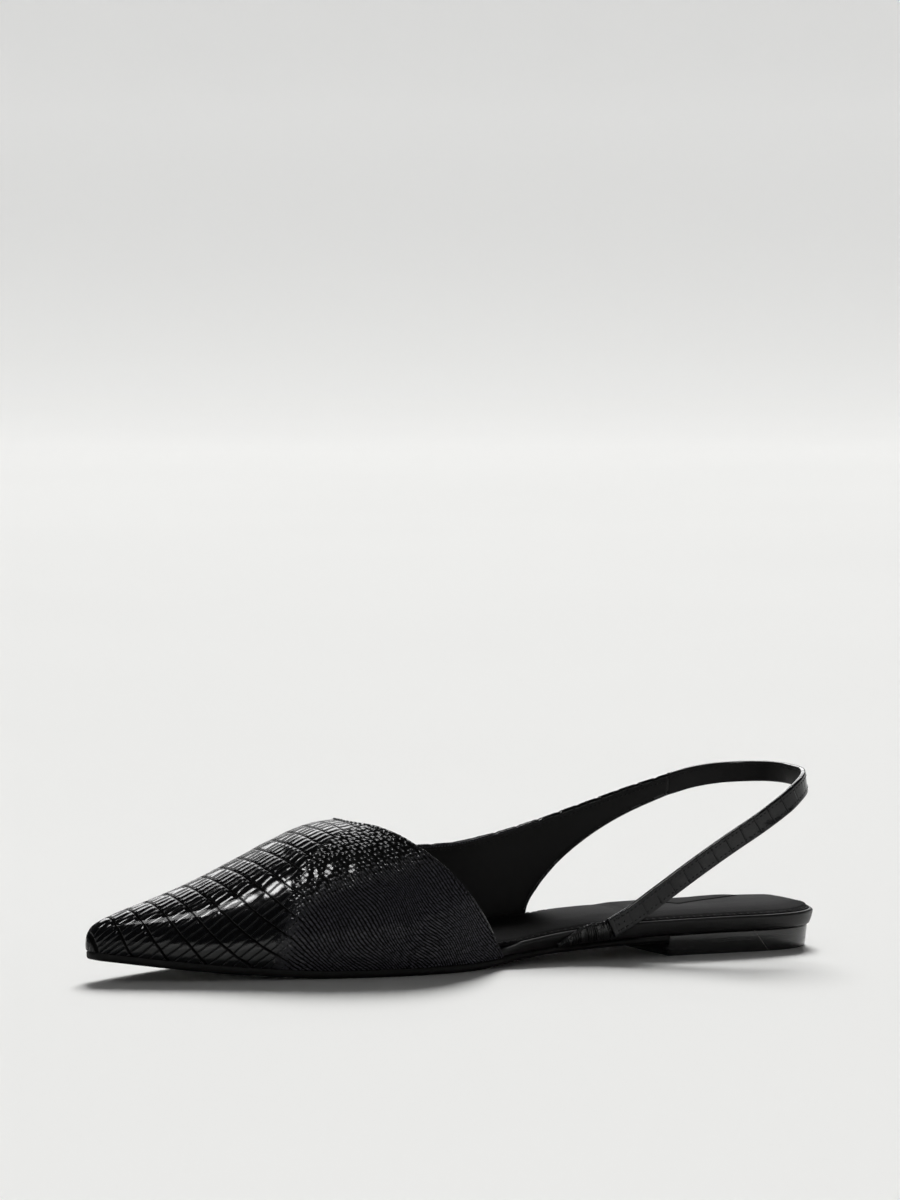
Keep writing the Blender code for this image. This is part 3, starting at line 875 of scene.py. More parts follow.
def makeBackdropPaper():
    # seamless studio paper: matt, very slightly warm, with a hint of its fibres
    finish, tree = newFinish("seamlessPaper")
    objectPlace = addNode(tree, "ShaderNodeTexCoord").outputs["Object"]
    fibres = addNode(tree, "ShaderNodeTexNoise", {"Scale": 500.0, "Detail": 3.0}, {"Vector": objectPlace})
    cloud = addNode(tree, "ShaderNodeTexNoise", {"Scale": 1.3, "Detail": 2.0}, {"Vector": objectPlace})
    colour = addNode(
        tree, "ShaderNodeMix",
        {"data_type": "RGBA", 6: linearColour("#e9e9e7"), 7: linearColour("#efefed")},
        {0: cloud.outputs["Fac"]},
    ).outputs[2]
    raised = addNode(tree, "ShaderNodeAttribute", {"attribute_name": "raised"}).outputs["Fac"]
    # where the paper curves up and the wash falls short, its own glow evens it out
    glow = addNode(tree, "ShaderNodeMath", {"operation": "MULTIPLY"}, {0: raised, 1: 0.56}).outputs[0]
    closeFinish(
        tree, {"Roughness": 0.75, "Specular IOR Level": 0.2, "Emission Color": linearColour("#fbfbfa")},
        {"Base Color": colour, "Emission Strength": glow},
        addNode(
            tree, "ShaderNodeMath", {"operation": "MULTIPLY"}, {0: fibres.outputs["Fac"], 1: 0.02},
        ).outputs[0],
    )
    return finish


finishes = {
    "embossed": makeEmbossedLeather(),
    "lining": makeSmoothLeather("smoothSideLining"),
    "sock": makeSmoothLeather("paddedSockLeather"),
    "rand": makeSmoothLeather("wrappedRandLeather"),
    "rubber": makeMouldedBlack("mouldedThinRubber"),
    "block": makeMouldedBlack("glossHeelBlock"),
    "gathered": makeGatheredLeather(),
    "ribbon": makeWovenLabel(),
    "thread": makeThread("bondedNylonThread"),
    "sockThread": makeThread("waxedSockThread"),
    "paper": makeBackdropPaper(),
}
print("finishes made")


# Upper: vamp and outer quarter, one lined shell

upper = {
    "throat": 173.0,
    "joint": 40.0,       # here the strap takes over from the quarter
    "wall": 1.8,
    "turnedEdge": 1.2,
    "nick": (7.4, 3.0, 0.55, 0.3),      # pitch, offset, width and depth of the nicks in the quarter's edge
    "tuck": (1.7, 0.4, 0.27),           # below this height the wall's foot turns in, so far in and down
    "around": 84,        # points from the sole to the crest
    "pitch": 0.95,       # between stations
    "edgeSteps": [0.0, 0.1, 0.28, 0.55, 0.9, 1.35, 1.9],
    "vamp": [            # fold, x and z of the open edge, x of the lasted edge
        (0, 173.0, 49.3, 173.0), (1, 171.2, 49.1, 168.5), (2, 167.2, 48.6, 163.5),
        (3, 161.6, 46.0, 158.0), (4, 155.5, 41.3, 152.5), (5, 150.5, 37.0, 147.5),
        (6, 146.2, 32.7, 143.0), (7, 142.2, 28.3, 139.0), (8, 138.7, 24.1, 136.0),
        (9, 135.6, 19.8, 133.2), (10, 132.6, 15.2, 130.7), (11, 129.8, 10.4, 128.5),
        (12, 126.8, 5.6, 126.5),
    ],
    "quarter": [         # fold, x and z of the top edge, x and z of the lower edge
        (0, 173.0, 49.3, 173.0, 0.0), (1, 171.0, 48.9, 167.0, 0.0), (2, 166.0, 47.8, 160.0, 0.0),
        (3, 157.5, 43.4, 151.5, 0.0), (4, 147.0, 39.0, 142.0, 0.0), (5, 134.0, 36.2, 130.0, 0.0),
        (6, 121.0, 36.5, 117.5, 0.0), (7, 109.0, 38.6, 105.5, 0.0), (8, 99.0, 41.1, 95.2, 0.0),
        (9, 92.3, 43.0, 92.6, 13.5), (10, 86.0, 44.8, 88.8, 20.0), (11, 79.0, 46.9, 82.8, 26.9),
        (12, 71.2, 49.1, 74.8, 33.4), (13, 62.0, 51.8, 64.6, 39.7), (14, 52.0, 54.5, 53.4, 44.9),
        (15, 40.0, 57.5, 40.0, 49.7),
    ],
    # soft creases: x, girth down from the crest, heading in degrees, length, width, depth
    "creases": [
        (200, 18, 78, 30, 5.0, 0.30), (192, 24, 70, 26, 4.5, 0.28), (183, 30, 66, 26, 5.0, 0.22),
        (214, 24, 80, 22, 6.0, 0.20), (176, 14, 74, 18, 5.0, 0.20), (206, 34, 60, 18, 5.0, 0.18),
        (228, 14, 84, 16, 5.5, 0.16), (168, 34, 62, 20, 4.5, 0.20), (160, 44, 55, 22, 5.0, 0.16),
        (196, -20, -76, 28, 5.0, 0.28), (186, -28, -70, 26, 5.0, 0.24), (172, -34, -64, 24, 5.0, 0.22),
        (150, -40, -72, 26, 6.0, 0.24), (128, -44, -80, 22, 6.0, 0.20),
    ],
    "pleats": (122.0, 172.0, 3.1, 0.20, 2.6),   # from x to x, pitch, depth, height
}


def edgeShares(length, lowEdge, highEdge, count):
    # shares of each row from its low to its high end, closer together at a worked edge
    steps = np.array(upper["edgeSteps"])
    scale = np.minimum(1.0, length / 7.0)[:, None]
    reach = steps[None, :] * scale / length[:, None]
    parts = []
    start = np.zeros(len(length))
    end = np.ones(len(length))
    middleCount = count
    if lowEdge:
        parts.append(reach)
        start = reach[:, -1]
        middleCount -= len(steps)
    if highEdge:
        end = 1.0 - reach[:, -1]
        middleCount -= len(steps)
    shares = np.linspace(0.0, 1.0, middleCount + 2 if highEdge else middleCount + 1)[1:]
    if highEdge:
        shares = shares[:-1]
    parts.append(start[:, None] + (end - start)[:, None] * shares[None, :])
    if highEdge:
        parts.append(1.0 - reach[:, ::-1])
    return np.concatenate(parts, axis=1)


def rowLengths(x, turn):
    points = sectionPoint(x, turn)
    return np.linalg.norm(np.diff(points, axis=1), axis=-1).sum(axis=1)


def halfToe(side, xs):
    count = upper["around"]
    even = np.linspace(0.0, 0.5, 60)[None, :] if side > 0 else np.linspace(1.0, 0.5, 60)[None, :]
    length = rowLengths(xs[:, None] + 0.0 * even, even + 0.0 * xs[:, None])
    shares = edgeShares(length, True, False, count)
    turn = 0.5 * shares
    return xs[:, None] + 0.0 * turn, turn if side > 0 else 1.0 - turn


def sheetPlaces(side, rows, folds):
    count = upper["around"]
    topX, topZ, lowX = (readTable(rows, k, folds) for k in (1, 2, 3))
    lowZ = readTable(rows, 4, folds) if len(rows[0]) > 4 else 0.0 * folds
    high = turnAt(side, topX, topZ)
    low = turnAt(side, lowX, lowZ)
    even = np.linspace(0.0, 1.0, 60)[None, :]
    length = rowLengths(
        lowX[:, None] + (topX - lowX)[:, None] * even, low[:, None] + (high - low)[:, None] * even,
    )
    plain = edgeShares(length, True, False, count)
    worked = edgeShares(length, True, True, count)
    ready = np.clip(folds, 0.0, 1.0)[:, None]
    shares = plain + (worked - plain) * ready
    x = lowX[:, None] + (topX - lowX)[:, None] * shares
    turn = low[:, None] + (high - low)[:, None] * shares
    return x, turn


def girthDown(x, turn):
    # millimetres over the surface from the crest, for any place on the last
    turns = np.linspace(0.0, 1.0, 201)
    stations = np.linspace(38.0, last["length"] - 0.2, 230)
    grid = sectionPoint(stations[:, None] + 0.0 * turns[None, :], turns[None, :] + 0.0 * stations[:, None])
    steps = np.linalg.norm(np.diff(grid, axis=1), axis=-1)
    total = np.concatenate([np.zeros((len(stations), 1)), np.cumsum(steps, axis=1)], axis=1)
    total = total[:, 100:101] - total
    station = np.clip((x - stations[0]) / (stations[1] - stations[0]), 0, len(stations) - 1.001)
    i = station.astype(int)
    u = station - i
    where = np.clip(turn * 200.0, 0, 199.999)
    j = where.astype(int)
    v = where - j
    low = total[i, j] * (1 - u) + total[i + 1, j] * u
    high = total[i, j + 1] * (1 - u) + total[i + 1, j + 1] * u
    return low * (1 - v) + high * v


def upperNet():
    toeXs = toeStations(16, 83.0)[::-1]
    straight = np.arange(upper["throat"] + 2.4, toeXs[-1] - 0.4, upper["pitch"])[::-1]
    near = upper["throat"] + np.array([1.7, 1.2, 0.8, 0.5, 0.25, 0.1, 0.0])
    xs = np.concatenate([toeXs, straight, near])
    innerX, innerTurn = halfToe(1, xs)
    outerX, outerTurn = halfToe(-1, xs)
    x = np.concatenate([innerX, outerX[:, -2::-1]], axis=1)
    turn = np.concatenate([innerTurn, outerTurn[:, -2::-1]], axis=1)
    count = upper["around"]
    # the nose is one upright line, shared by both sides
    noseTurn = innerTurn[0]
    nose = sectionPoint(np.full(count, last["length"]), noseTurn)
    nose[:, 1] = 0.0
    places = [np.stack([np.full(count, last["length"]), noseTurn], -1)]
    points = [nose]
    size = count
    noseRow = np.concatenate([np.arange(count), np.arange(count - 1)[::-1]])
    grid = size + np.arange(x.size).reshape(x.shape)
    faces = gridFaces(np.concatenate([noseRow[None, :], grid], axis=0))
    places.append(np.stack([x.ravel(), turn.ravel()], -1))
    points.append(sectionPoint(x, turn).reshape(-1, 3))
    size += x.size
    rims = {}
    for side, rows, seam, steps in (
        (1, upper["vamp"], grid[-1, :count], 50),
        (-1, upper["quarter"], grid[-1, :count - 2:-1], 128),
    ):
        # the first two folds turn sharply, so they lie closer
        folds = np.concatenate([np.linspace(0, 2, 17)[1:], np.linspace(2, rows[-1][0], steps)[1:]])
        sheetX, sheetTurn = sheetPlaces(side, rows, folds)
        sheet = size + np.arange(sheetX.size).reshape(sheetX.shape)
        net = np.concatenate([seam[None, :], sheet], axis=0)
        made = gridFaces(net)
        faces += made if side > 0 else [face[::-1] for face in made]
        places.append(np.stack([sheetX.ravel(), sheetTurn.ravel()], -1))
        points.append(sectionPoint(sheetX, sheetTurn).reshape(-1, 3))
        size += sheetX.size
        rims[side] = net
    return np.concatenate(places), np.concatenate(points), faces, rims


def vertexNormals(points, faces):
    mesh = bpy.data.meshes.new("measure")
    mesh.from_pydata(points.tolist(), [], faces)
    values = np.zeros(len(points) * 3)
    mesh.vertex_normals.foreach_get("vector", values)
    bpy.data.meshes.remove(mesh)
    return values.reshape(-1, 3)


def nearestDistance(points, line, reach):
    tree = KDTree(len(line))
    for k, point in enumerate(line):
        tree.insert(point, k)
    tree.balance()
    found = [tree.find(point)[2] for point in points]
    return np.minimum(np.array(found), reach)


def denseLine(points, pitch):
    run = pathLength(points)
    at = np.arange(0.0, run[-1], pitch)
    return np.stack([np.interp(at, run, points[:, k]) for k in range(3)], -1)


def openEdges(faces):
    # edges that only one face has, in that face's direction
    seen = {}
    for face in faces:
        for a, b in zip(face, face[1:] + face[:1]):
            if (b, a) in seen:
                del seen[(b, a)]
            else:
                seen[(a, b)] = True
    return list(seen)


hide = {
    # millimetres along the shoe, or down from the crest, each with what it has there
    "columnPitch": ([60.0, 150.0, 175.0, 205.0, 225.0, 300.0], [5.6, 4.6, 5.0, 6.2, 7.0, 7.0]),
    "rowPitch": ([0.0, 10.0, 18.0, 34.0, 44.0, 60.0], [1.9, 2.4, 3.3, 3.4, 2.4, 1.9]),
    "tilesAhead": ([0.0, 6.0, 13.0, 22.0, 32.0, 60.0], [160.0, 168.0, 186.0, 198.0, 201.0, 211.0]),
    "strapTiles": (122.0, 84.0),   # tiles come back over this stretch of the quarter
    "fineScales": (22.0, 38.0),    # beads give way to the finest scales over this stretch
    "bow": (0.15, 0.0085),         # how the columns lean and curve down the sides
}


def hideLayers(x, girth):
    # where the pressed pattern lies: columns and rows of tiles, and the small scales beside them
    down = np.sqrt(girth ** 2 + 9.0) - 3.0
    lean, curve = hide["bow"]
    run = x + lean * down + curve * down ** 2
    knots, pitch = hide["columnPitch"]
    fineX = np.linspace(knots[0], knots[-1], 600)
    cells = np.cumsum(1.0 / np.interp(fineX, knots, pitch)) * (fineX[1] - fineX[0])
    column = np.interp(run, fineX, cells)
    fineG = np.linspace(0.0, 120.0, 500)
    rowCells = np.cumsum(1.0 / np.interp(fineG, *hide["rowPitch"])) * (fineG[1] - fineG[0])
    row = np.interp(down, fineG, rowCells) - 0.2 * (x - 200.0) / 2.7
    ahead = np.interp(down, *hide["tilesAhead"])
    fade = 4.0 + 4.0 * smoothStep(20.0, 34.0, down)
    tile = smoothStep(-1.0, 1.0, (x - ahead) / fade)
    wobble = 3.0 * np.sin(down / 3.1) + 2.0 * np.sin(down / 1.3)
    tile = np.maximum(tile, smoothStep(*hide["strapTiles"], x + wobble) * (girth < 0))
    low = smoothStep(*hide["fineScales"], down)
    fine = (1.0 - tile) * low
    bead = (1.0 - tile) * (1.0 - low)
    return (
        np.stack([column, row, 1.0 + 0.0 * x], -1),
        np.stack([run, down, 0.0 * x], -1),
        np.stack([tile, bead, fine], -1),
    )


def makeUpper():
    places, points, faces, rims = upperNet()
    x, turn = places[:, 0], places[:, 1]
    normals = vertexNormals(points, faces)
    if normals[np.argmax(points[:, 2])][2] < 0.0:
        faces = [face[::-1] for face in faces]
        normals = -normals
    girth = girthDown(x, turn)      # the outer side counts below nought
    wall = upper["wall"]
    top = np.concatenate([points[rims[1][::-1, -1]], points[rims[-1][1:, -1]]])
    topNormals = np.concatenate([normals[rims[1][::-1, -1]], normals[rims[-1][1:, -1]]])
    lowFree = rims[-1][:, 0]
    lowFree = lowFree[points[lowFree][:, 2] > seatHeight(points[lowFree][:, 0]) + last["gap"] + 0.05]
    low = points[lowFree]
    lowNormals = normals[lowFree]
    rim = np.concatenate([denseLine(top, 0.1), denseLine(low, 0.1)])
    fromEdge = nearestDistance(points, rim, 6.0)
    # soft creases pressed in one by one, fading out before the topline
    lift = np.zeros(len(points))
    for creaseX, creaseG, heading, length, width, depth in upper["creases"]:
        angle = math.radians(heading)
        dx = x - creaseX
        dg = girth - creaseG
        alongIt = dx * math.cos(angle) + dg * math.sin(angle)
        besideIt = -dx * math.sin(angle) + dg * math.cos(angle)
        reach = np.exp(-(alongIt / (0.5 * length)) ** 2)
        trough = np.exp(-(besideIt / (0.45 * width)) ** 2)
        ridge = np.exp(-((besideIt - width) / (0.6 * width)) ** 2)
        lift -= depth * reach * (trough - 0.45 * ridge)
    lift *= smoothStep(1.0, 6.0, fromEdge)
    base = seatHeight(x) + last["gap"]
    height = points[:, 2] - base
    onSole = 1.0 - smoothStep(-1.0, 1.0, last["outerCorner"] + 2.0 - x) * (points[:, 1] < 0)
    start, end, pitch, depth, fade = upper["pleats"]
    pleat = depth * np.exp(-np.clip(height, 0.0, None) / fade)
    pleat *= smoothStep(start, start + 8.0, x) * smoothStep(end + 12.0, end - 12.0, x)
    lift -= pleat * (0.5 + 0.5 * np.sin(2 * math.pi * x / pitch + 0.7 * np.sin(x / 5.3)))
    outer = points + normals * lift[:, None]
    inwards = normals.copy()
    atFoot = height < 0.01
    inwards[atFoot, 2] = 0.0
    atJoint = np.abs(x - upper["joint"]) < 0.01
    inwards[atJoint, 0] = 0.0
    inwards /= np.linalg.norm(inwards, axis=1, keepdims=True)
    inner = outer - inwards * wall
    # the embossed leather is turned over the edge, and the lining starts behind it
    turned = upper["turnedEdge"]
    inner += inwards * (0.16 * np.exp(-((fromEdge - turned - 0.15) / 0.28) ** 2))[:, None]
    # rounded free edges
    half = wall / 2.0
    short = np.clip(half - fromEdge, 0.0, half)
    rounding = np.minimum(half - np.sqrt(half ** 2 - short ** 2), half - 0.06)
    outer = outer - inwards * rounding[:, None]
    inner = inner + inwards * rounding[:, None]
    # the lasted edge turns in and sits on the sole
    tuckHeight, tuckIn, tuckDown = upper["tuck"]
    lowness = np.clip(1.0 - height / tuckHeight, 0.0, 1.0)
    side = np.stack([inwards[:, 0], inwards[:, 1], 0.0 * x], -1)
    for skin in (outer, inner):
        skin -= side * (tuckIn * lowness ** 2 * onSole)[:, None]
        skin[:, 2] -= tuckDown * lowness * onSole
    count = len(points)
    allFaces = list(faces)
    allFaces += [tuple(k + count for k in face[::-1]) for face in faces]
    rimFaces = [(b, a, a + count, b + count) for a, b in openEdges(faces)]
    allFaces += rimFaces
    tile, scale, zone = hideLayers(x, girth)
    # the pressed columns nick the turned edge of the quarter
    toTop = nearestDistance(points, denseLine(top, 0.1), 3.0)
    nickPitch, offset, nickWidth, nickDepth = upper["nick"]
    nick = np.exp(-(((x + offset) % nickPitch - nickPitch / 2.0) / nickWidth) ** 2)
    nick *= smoothStep(1.6, 0.0, toTop) * (girth < -4.0)
    for skin in (outer, inner):
        skin[:, 2] -= nickDepth * nick
    quiet = smoothStep(0.2, 1.6, fromEdge)[:, None]
    zone = zone * (0.35 + 0.65 * quiet)
    layers = {
        "tilePlace": np.concatenate([tile, tile]),
        "scalePlace": np.concatenate([scale, scale]),
        "hideZone": np.concatenate([zone, zone]),
    }
    lined = [int(min(fromEdge[k] for k in face) > turned - 0.3) for face in faces]
    faceFinish = [0] * len(faces) + lined + [0] * len(rimFaces)
    piece = makePiece(
        "upperShell", np.concatenate([outer, inner]), allFaces,
        [finishes["embossed"], finishes["lining"]], faceFinish, layers,
    )
    edges = {"top": (top, topNormals), "low": (low, lowNormals)}
    return piece, edges


upperShell, upperEdges = makeUpper()
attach(upperShell, "root")
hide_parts("upper")
print("upper", len(upperShell.data.polygons), "faces")


# Sling strap: a lined band with rolled edges

strap = {
    "rows": [            # row, x, y, z of the centre line, width, lean in degrees
        (0, 39.7, -23.0, 53.6, 7.6, 9), (1, 30.0, -22.95, 55.7, 7.5, 9), (2, 20.5, -22.0, 56.8, 7.3, 8),
        (3, 11.6, -18.4, 57.3, 7.2, 8), (4, 5.8, -12.2, 57.5, 7.1, 8), (5, 3.2, -4.0, 57.3, 7.1, 8),
        (6, 3.2, 4.5, 57.0, 7.1, 8), (7, 5.8, 12.5, 56.1, 7.1, 8), (8, 11.0, 18.4, 53.8, 7.0, 7),
        (9, 18.2, 21.8, 49.6, 7.0, 7), (10, 28.0, 23.0, 43.9, 6.9, 6), (11, 40.0, 23.4, 37.3, 6.9, 5),
        (12, 54.0, 23.8, 29.2, 6.9, 4), (13, 67.0, 24.2, 21.2, 6.9, 3), (14, 78.0, 24.6, 14.6, 6.9, 1),
        (15, 85.4, 24.75, 11.0, 6.8, 0),
    ],
    "thickness": 2.0,
    "steps": 420,
    "tilePitch": 6.3,
    "pressed": 0.32,     # share of the pattern's depth left on the band
    "stitchInset": 1.5,
    "reach": 0.55,       # into the quarter's end
    "upright": 1.3,      # rows over which its first end comes upright
}


def strapFrames(at):
    rows = strap["rows"]
    end = rows[-1][0]

    def centre(row):
        return np.stack([readTable(rows, k, row) for k in (1, 2, 3)], -1)

    here = centre(at)
    along = centre(np.minimum(at + 0.05, end)) - centre(np.maximum(at - 0.05, 0.0))
    along /= np.linalg.norm(along, axis=-1, keepdims=True)
    up = np.array([0.0, 0.0, 1.0]) - along * along[:, 2:3]
    up /= np.linalg.norm(up, axis=-1, keepdims=True)
    out = np.cross(up, along)
    lean = np.radians(readTable(rows, 5, at))[:, None]
    across = up * np.cos(lean) - out * np.sin(lean)
    normal = out * np.cos(lean) + up * np.sin(lean)
    return here, along, across, normal, readTable(rows, 4, at)


def strapProfile():
    # shares of the half width and millimetres out from the middle, once round the band
    face = np.linspace(-1.0, 1.0, 15)
    bow = 1.0 - 0.06 * (1.0 - face ** 2)
    outerFace = [(w, 0.92 * b) for w, b in zip(face * 0.9, bow)]
    innerFace = [(w, -0.9) for w in face[::-1] * 0.9]
    topEdge = [(0.955, 0.8), (0.992, 0.45), (1.0, 0.0), (0.992, -0.45), (0.955, -0.8)]
    lowEdge = [(-w, -b) for w, b in topEdge]
    return outerFace + topEdge + innerFace + lowEdge, len(outerFace)


def makeStrap():
    end = strap["rows"][-1][0]
    at = np.linspace(0.0, end, strap["steps"])
    here, along, across, normal, width = strapFrames(at)
    here[0] -= along[0] * strap["reach"]
    profile, facePoints = strapProfile()
    run = pathLength(here)
    rings = []
    for share, out in profile:
        thick = out * strap["thickness"] / 2.0
        rings.append(here + across * (share * width / 2.0)[:, None] + normal * thick)
    rings = np.stack(rings, 1)
    # its first end is cut upright, like the end of the quarter
    first = at < strap["upright"]
    upright = (here[first, :1] - rings[first, :, 0]) / along[first, :1]
    upright *= smoothStep(strap["upright"], 0.0, at[first])[:, None]
    rings[first] += along[first, None, :] * upright[..., None]
    # the band waves slightly along its length
    wave = 0.10 * np.sin(run / 6.1) * np.sin(run / 17.0)
    rings += (normal * wave[:, None])[:, None, :]
    count = len(profile)
    shares = np.array(profile)[:, 0]
    column = run[:, None] / strap["tilePitch"] + 0.0 * shares[None, :]
    row = shares[None, :] * (width / 2.0)[:, None] / 9.0 + 8.5
    tile = np.stack([column, row, 0.0 * row], -1).reshape(-1, 3)
    scale = np.stack([run[:, None] + 0.0 * row, row * 2.6, 0.0 * row], -1).reshape(-1, 3)
    zone = np.zeros((len(tile), 3))
    zone[:, 0] = strap["pressed"]
    ringFinish = [0] * count
    for k in range(facePoints + 5, 2 * facePoints + 4):
        ringFinish[k] = 1
    piece = loftPiece(
        "slingBand", rings, [finishes["embossed"], finishes["lining"]],
        {"tilePlace": tile, "scalePlace": scale, "hideZone": zone}, ringFinish,
    )
    return piece


slingBand = makeStrap()
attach(slingBand, "root")
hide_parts("sling_strap")
print("strap made")


# Gathered gore on the edge of the insole

gore = {
    "rows": [            # row, x of the foot, x and z of the top
        (0, 84.2, 85.6, 13.4), (1, 90.0, 91.6, 12.9), (2, 95.0, 96.2, 11.4),
        (3, 100.0, 100.6, 9.0), (4, 104.5, 104.8, 6.6),
    ],
    "thickness": 1.3,
    "gathers": 17,
    "gatherDepth": 0.7,
}


def makeGore():
    along = np.linspace(0.0, 1.0, 15 * 14)
    row = along * gore["rows"][-1][0]
    lowX, topX, topZ = (readTable(gore["rows"], k, row) for k in (1, 2, 3))
    lowZ = seatHeight(lowX) + 0.12
    shares = np.linspace(0.0, 1.0, 22)
    foot = halfWidth(1, lowX) - 1.2 + last["gap"] + 0.15
    head = halfWidth(1, topX) + last["gap"]
    phase = gore["gathers"] * (along + 0.02 * np.sin(along * 21.0) + 0.012 * np.sin(along * 47.0))
    front = []
    back = []
    for share in shares:
        x = lowX + (topX - lowX) * share
        z = lowZ + (topZ - lowZ) * share
        y = foot + (head - foot) * smoothStep(0.0, 0.55, share)
        wander = 0.18 * math.sin(share * 5.0)
        wave = 0.5 - 0.5 * np.cos(2.0 * math.pi * (phase + wander * np.sin(along * 33.0)))
        thick = gore["thickness"] * (0.8 + 0.2 * math.sin(math.pi * share))
        top = y + thick - gore["gatherDepth"] * (1.0 - wave) * (0.75 + 0.25 * share)
        edge = min(share, 1.0 - share) / 0.12
        top = np.where(edge < 1.0, y + (top - y) * math.sqrt(max(0.0, min(edge, 1.0))), top)
        lip = 0.35 * (wave - 0.5) * smoothStep(0.7, 1.0, share)
        front.append(np.stack([x, top, z + lip], -1))
        back.append(np.stack([x, y - 0.02, z + 0.0 * lip], -1))
    rings = np.concatenate([np.stack(front, 1), np.stack(back[::-1], 1)], axis=1)
    return loftPiece("gatheredGore", rings, [finishes["gathered"]])


gatheredGore = makeGore()
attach(gatheredGore, "root")
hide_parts("elastic_gore")
print("gore made")


# Insole: padded sock, wrapped board with its bare rand, outsole and heel

insole = {
    "sockInset": 1.25,
    "crown": 1.8,
    "channel": (1.55, 0.75, 0.32),    # inset from the edge of the sock, width, depth
    "across": 60,
    "padSeam": (69.3, -12.0, 0.006, 1.3, 0.35),   # x, y of its turning point, bend, width, depth
    "boardEnd": 258.0,
}


def sockProfile(side, x):
    covered = last["covered"] * (1.0 - barePart(side, x))
    inset = covered + insole["sockInset"]
    rim = rimHeight(x)
    return (
        (inset + 0.15, rim - 1.0),
        (inset, rim - 0.62),
        (inset + 0.02, rim - 0.12),
        (inset + 0.12, rim + 0.04),
        (inset + 0.32, rim + 0.12),
    )


def makeSock():
    x = footStations(0.9)
    x = x[x < insole["boardEnd"]]
    fullness = np.minimum(1.0, halfWidth(1, x) / 20.0)
    shares = 0.5 - 0.5 * np.cos(np.linspace(0.0, math.pi, insole["across"])[1:-1])
    shares = 0.45 * shares + 0.55 * np.linspace(0.0, 1.0, insole["across"])[1:-1]
    knots = [0.0, 0.12, 0.3, 0.5, 0.7, 0.88, 1.0]
    rises = [0.0, 0.55, 0.95, 1.0, 0.95, 0.55, 0.0]
    width = halfWidth(1, x) + halfWidth(-1, x) - 2.0 * insole["sockInset"]
    channelAt, channelWidth, channelDepth = insole["channel"]
    seamX, seamY, bend, seamWidth, seamDepth = insole["padSeam"]
    crown = []
    for share in shares:
        rise = insole["crown"] * fullness * smoothCurve(knots, rises, np.full(len(x), share))
        inside = np.minimum(share, 1.0 - share) * width
        inside = np.minimum(inside, x + 1.0)
        rise = rise - channelDepth * np.exp(-((inside - channelAt) / channelWidth) ** 2)
        y = halfWidth(1, x) * (1.0 - share) - halfWidth(-1, x) * share
        seam = seamX + bend * (y - seamY) ** 2
        for line in (seam, seam + 2.4):
            grooveShade = np.exp(-((x - line) / (0.5 * seamWidth)) ** 2) * smoothStep(1.0, 3.5, inside)
            rise = rise - seamDepth * grooveShade
        pad = 0.45 * smoothStep(3.0, -4.0, x - seam) * smoothStep(2.0, 9.0, inside)
        crown.append((share, rise + pad))
    rings = ringPoints(x, sockProfile, crown)
    return loftPiece("paddedSock", rings, [finishes["sock"]])


def boardProfile(side, x):
    bare = barePart(side, x)
    covered = last["covered"] * (1.0 - bare)
    seat = seatHeight(x) + 0.04
    rim = rimHeight(x)
    top = rim - 0.3 * bare - 1.7 * (1.0 - bare)
    return (
        (covered + 1.9 * bare, seat),
        (covered + 1.35 * bare, seat + 0.12),
        (covered + 1.1 * bare, seat + 0.45),
        (covered + 0.9 * bare, seat + 0.9),
        (covered + 0.42 * bare, seat + 0.45 * (top - seat)),
        (covered + 0.06 * bare, top - 1.25),
        (covered + 0.0 * bare, top - 0.9),
        (covered + 0.08, top - 0.52),
        (covered + 0.32, top - 0.22),
        (covered + 0.7, top - 0.06),
        (covered + 1.2, top),
        (covered + 2.4, top - 0.02),
    )


def makeBoard():
    x = footStations(1.1)
    x = x[x < insole["boardEnd"]]
    return loftPiece("wrappedBoard", ringPoints(x, boardProfile), [finishes["rand"]])


outsole = {"breast": 62.65, "waistInset": 0.8, "vampInset": 0.4, "edgeRound": 0.9}


def outsoleProfile(side, x):
    bare = barePart(side, x)
    inset = outsole["waistInset"] * bare + outsole["vampInset"] * (1.0 - bare)
    under = readTable(last["profile"], 1, x)
    seat = seatHeight(x)
    thick = seat - under
    return (
        (inset + 4.0, under),
        (inset + outsole["edgeRound"] + 0.3, under + 0.01),
        (inset + 0.62, under + 0.12),
        (inset + 0.28, under + 0.38),
        (inset + 0.06, under + 0.8),
        (inset, under + 0.5 * thick),
        (inset + 0.02, seat - 0.55),
        (inset + 0.16, seat - 0.18),
        (inset + 0.4, seat),
    )


def makeOutsole():
    x = footStations(1.1)
    x = np.concatenate([[outsole["breast"]], x[x > outsole["breast"] + 0.6]])
    rings = ringPoints(x, outsoleProfile)
    rings[0, :, 0] = outsole["breast"]
    return loftPiece("thinOutsole", rings, [finishes["rubber"]])


heel = {"breast": 62.35, "topInset": 2.0, "footInset": 2.7}


def heelProfile(side, x):
    top = seatHeight(x) - 0.04
    foot, head = heel["footInset"], heel["topInset"]
    return (
        (foot + 0.9, 0.0),
        (foot + 0.45, 0.04),
        (foot + 0.14, 0.22),
        (foot, 0.55),
        (foot + 0.3 * (head - foot), 2.6),
        (foot + 0.75 * (head - foot), 5.2),
        (head, top - 0.6),
        (head + 0.08, top - 0.15),
        (head + 0.3, top),
    )


def makeHeel():
    x = footStations(1.0)
    x = np.concatenate([x[x < heel["breast"] - 0.9], [heel["breast"] - 0.35, heel["breast"]]])
    rings = ringPoints(x, heelProfile)
    rings[-2:, :, 0] = x[-2:, None]
    middle = rings[-1].mean(axis=0)
    rings[-1, :, 1:] = middle[1:] + (rings[-1, :, 1:] - middle[1:]) * [0.99, 0.96]
    return loftPiece("heelBlock", rings, [finishes["block"]])


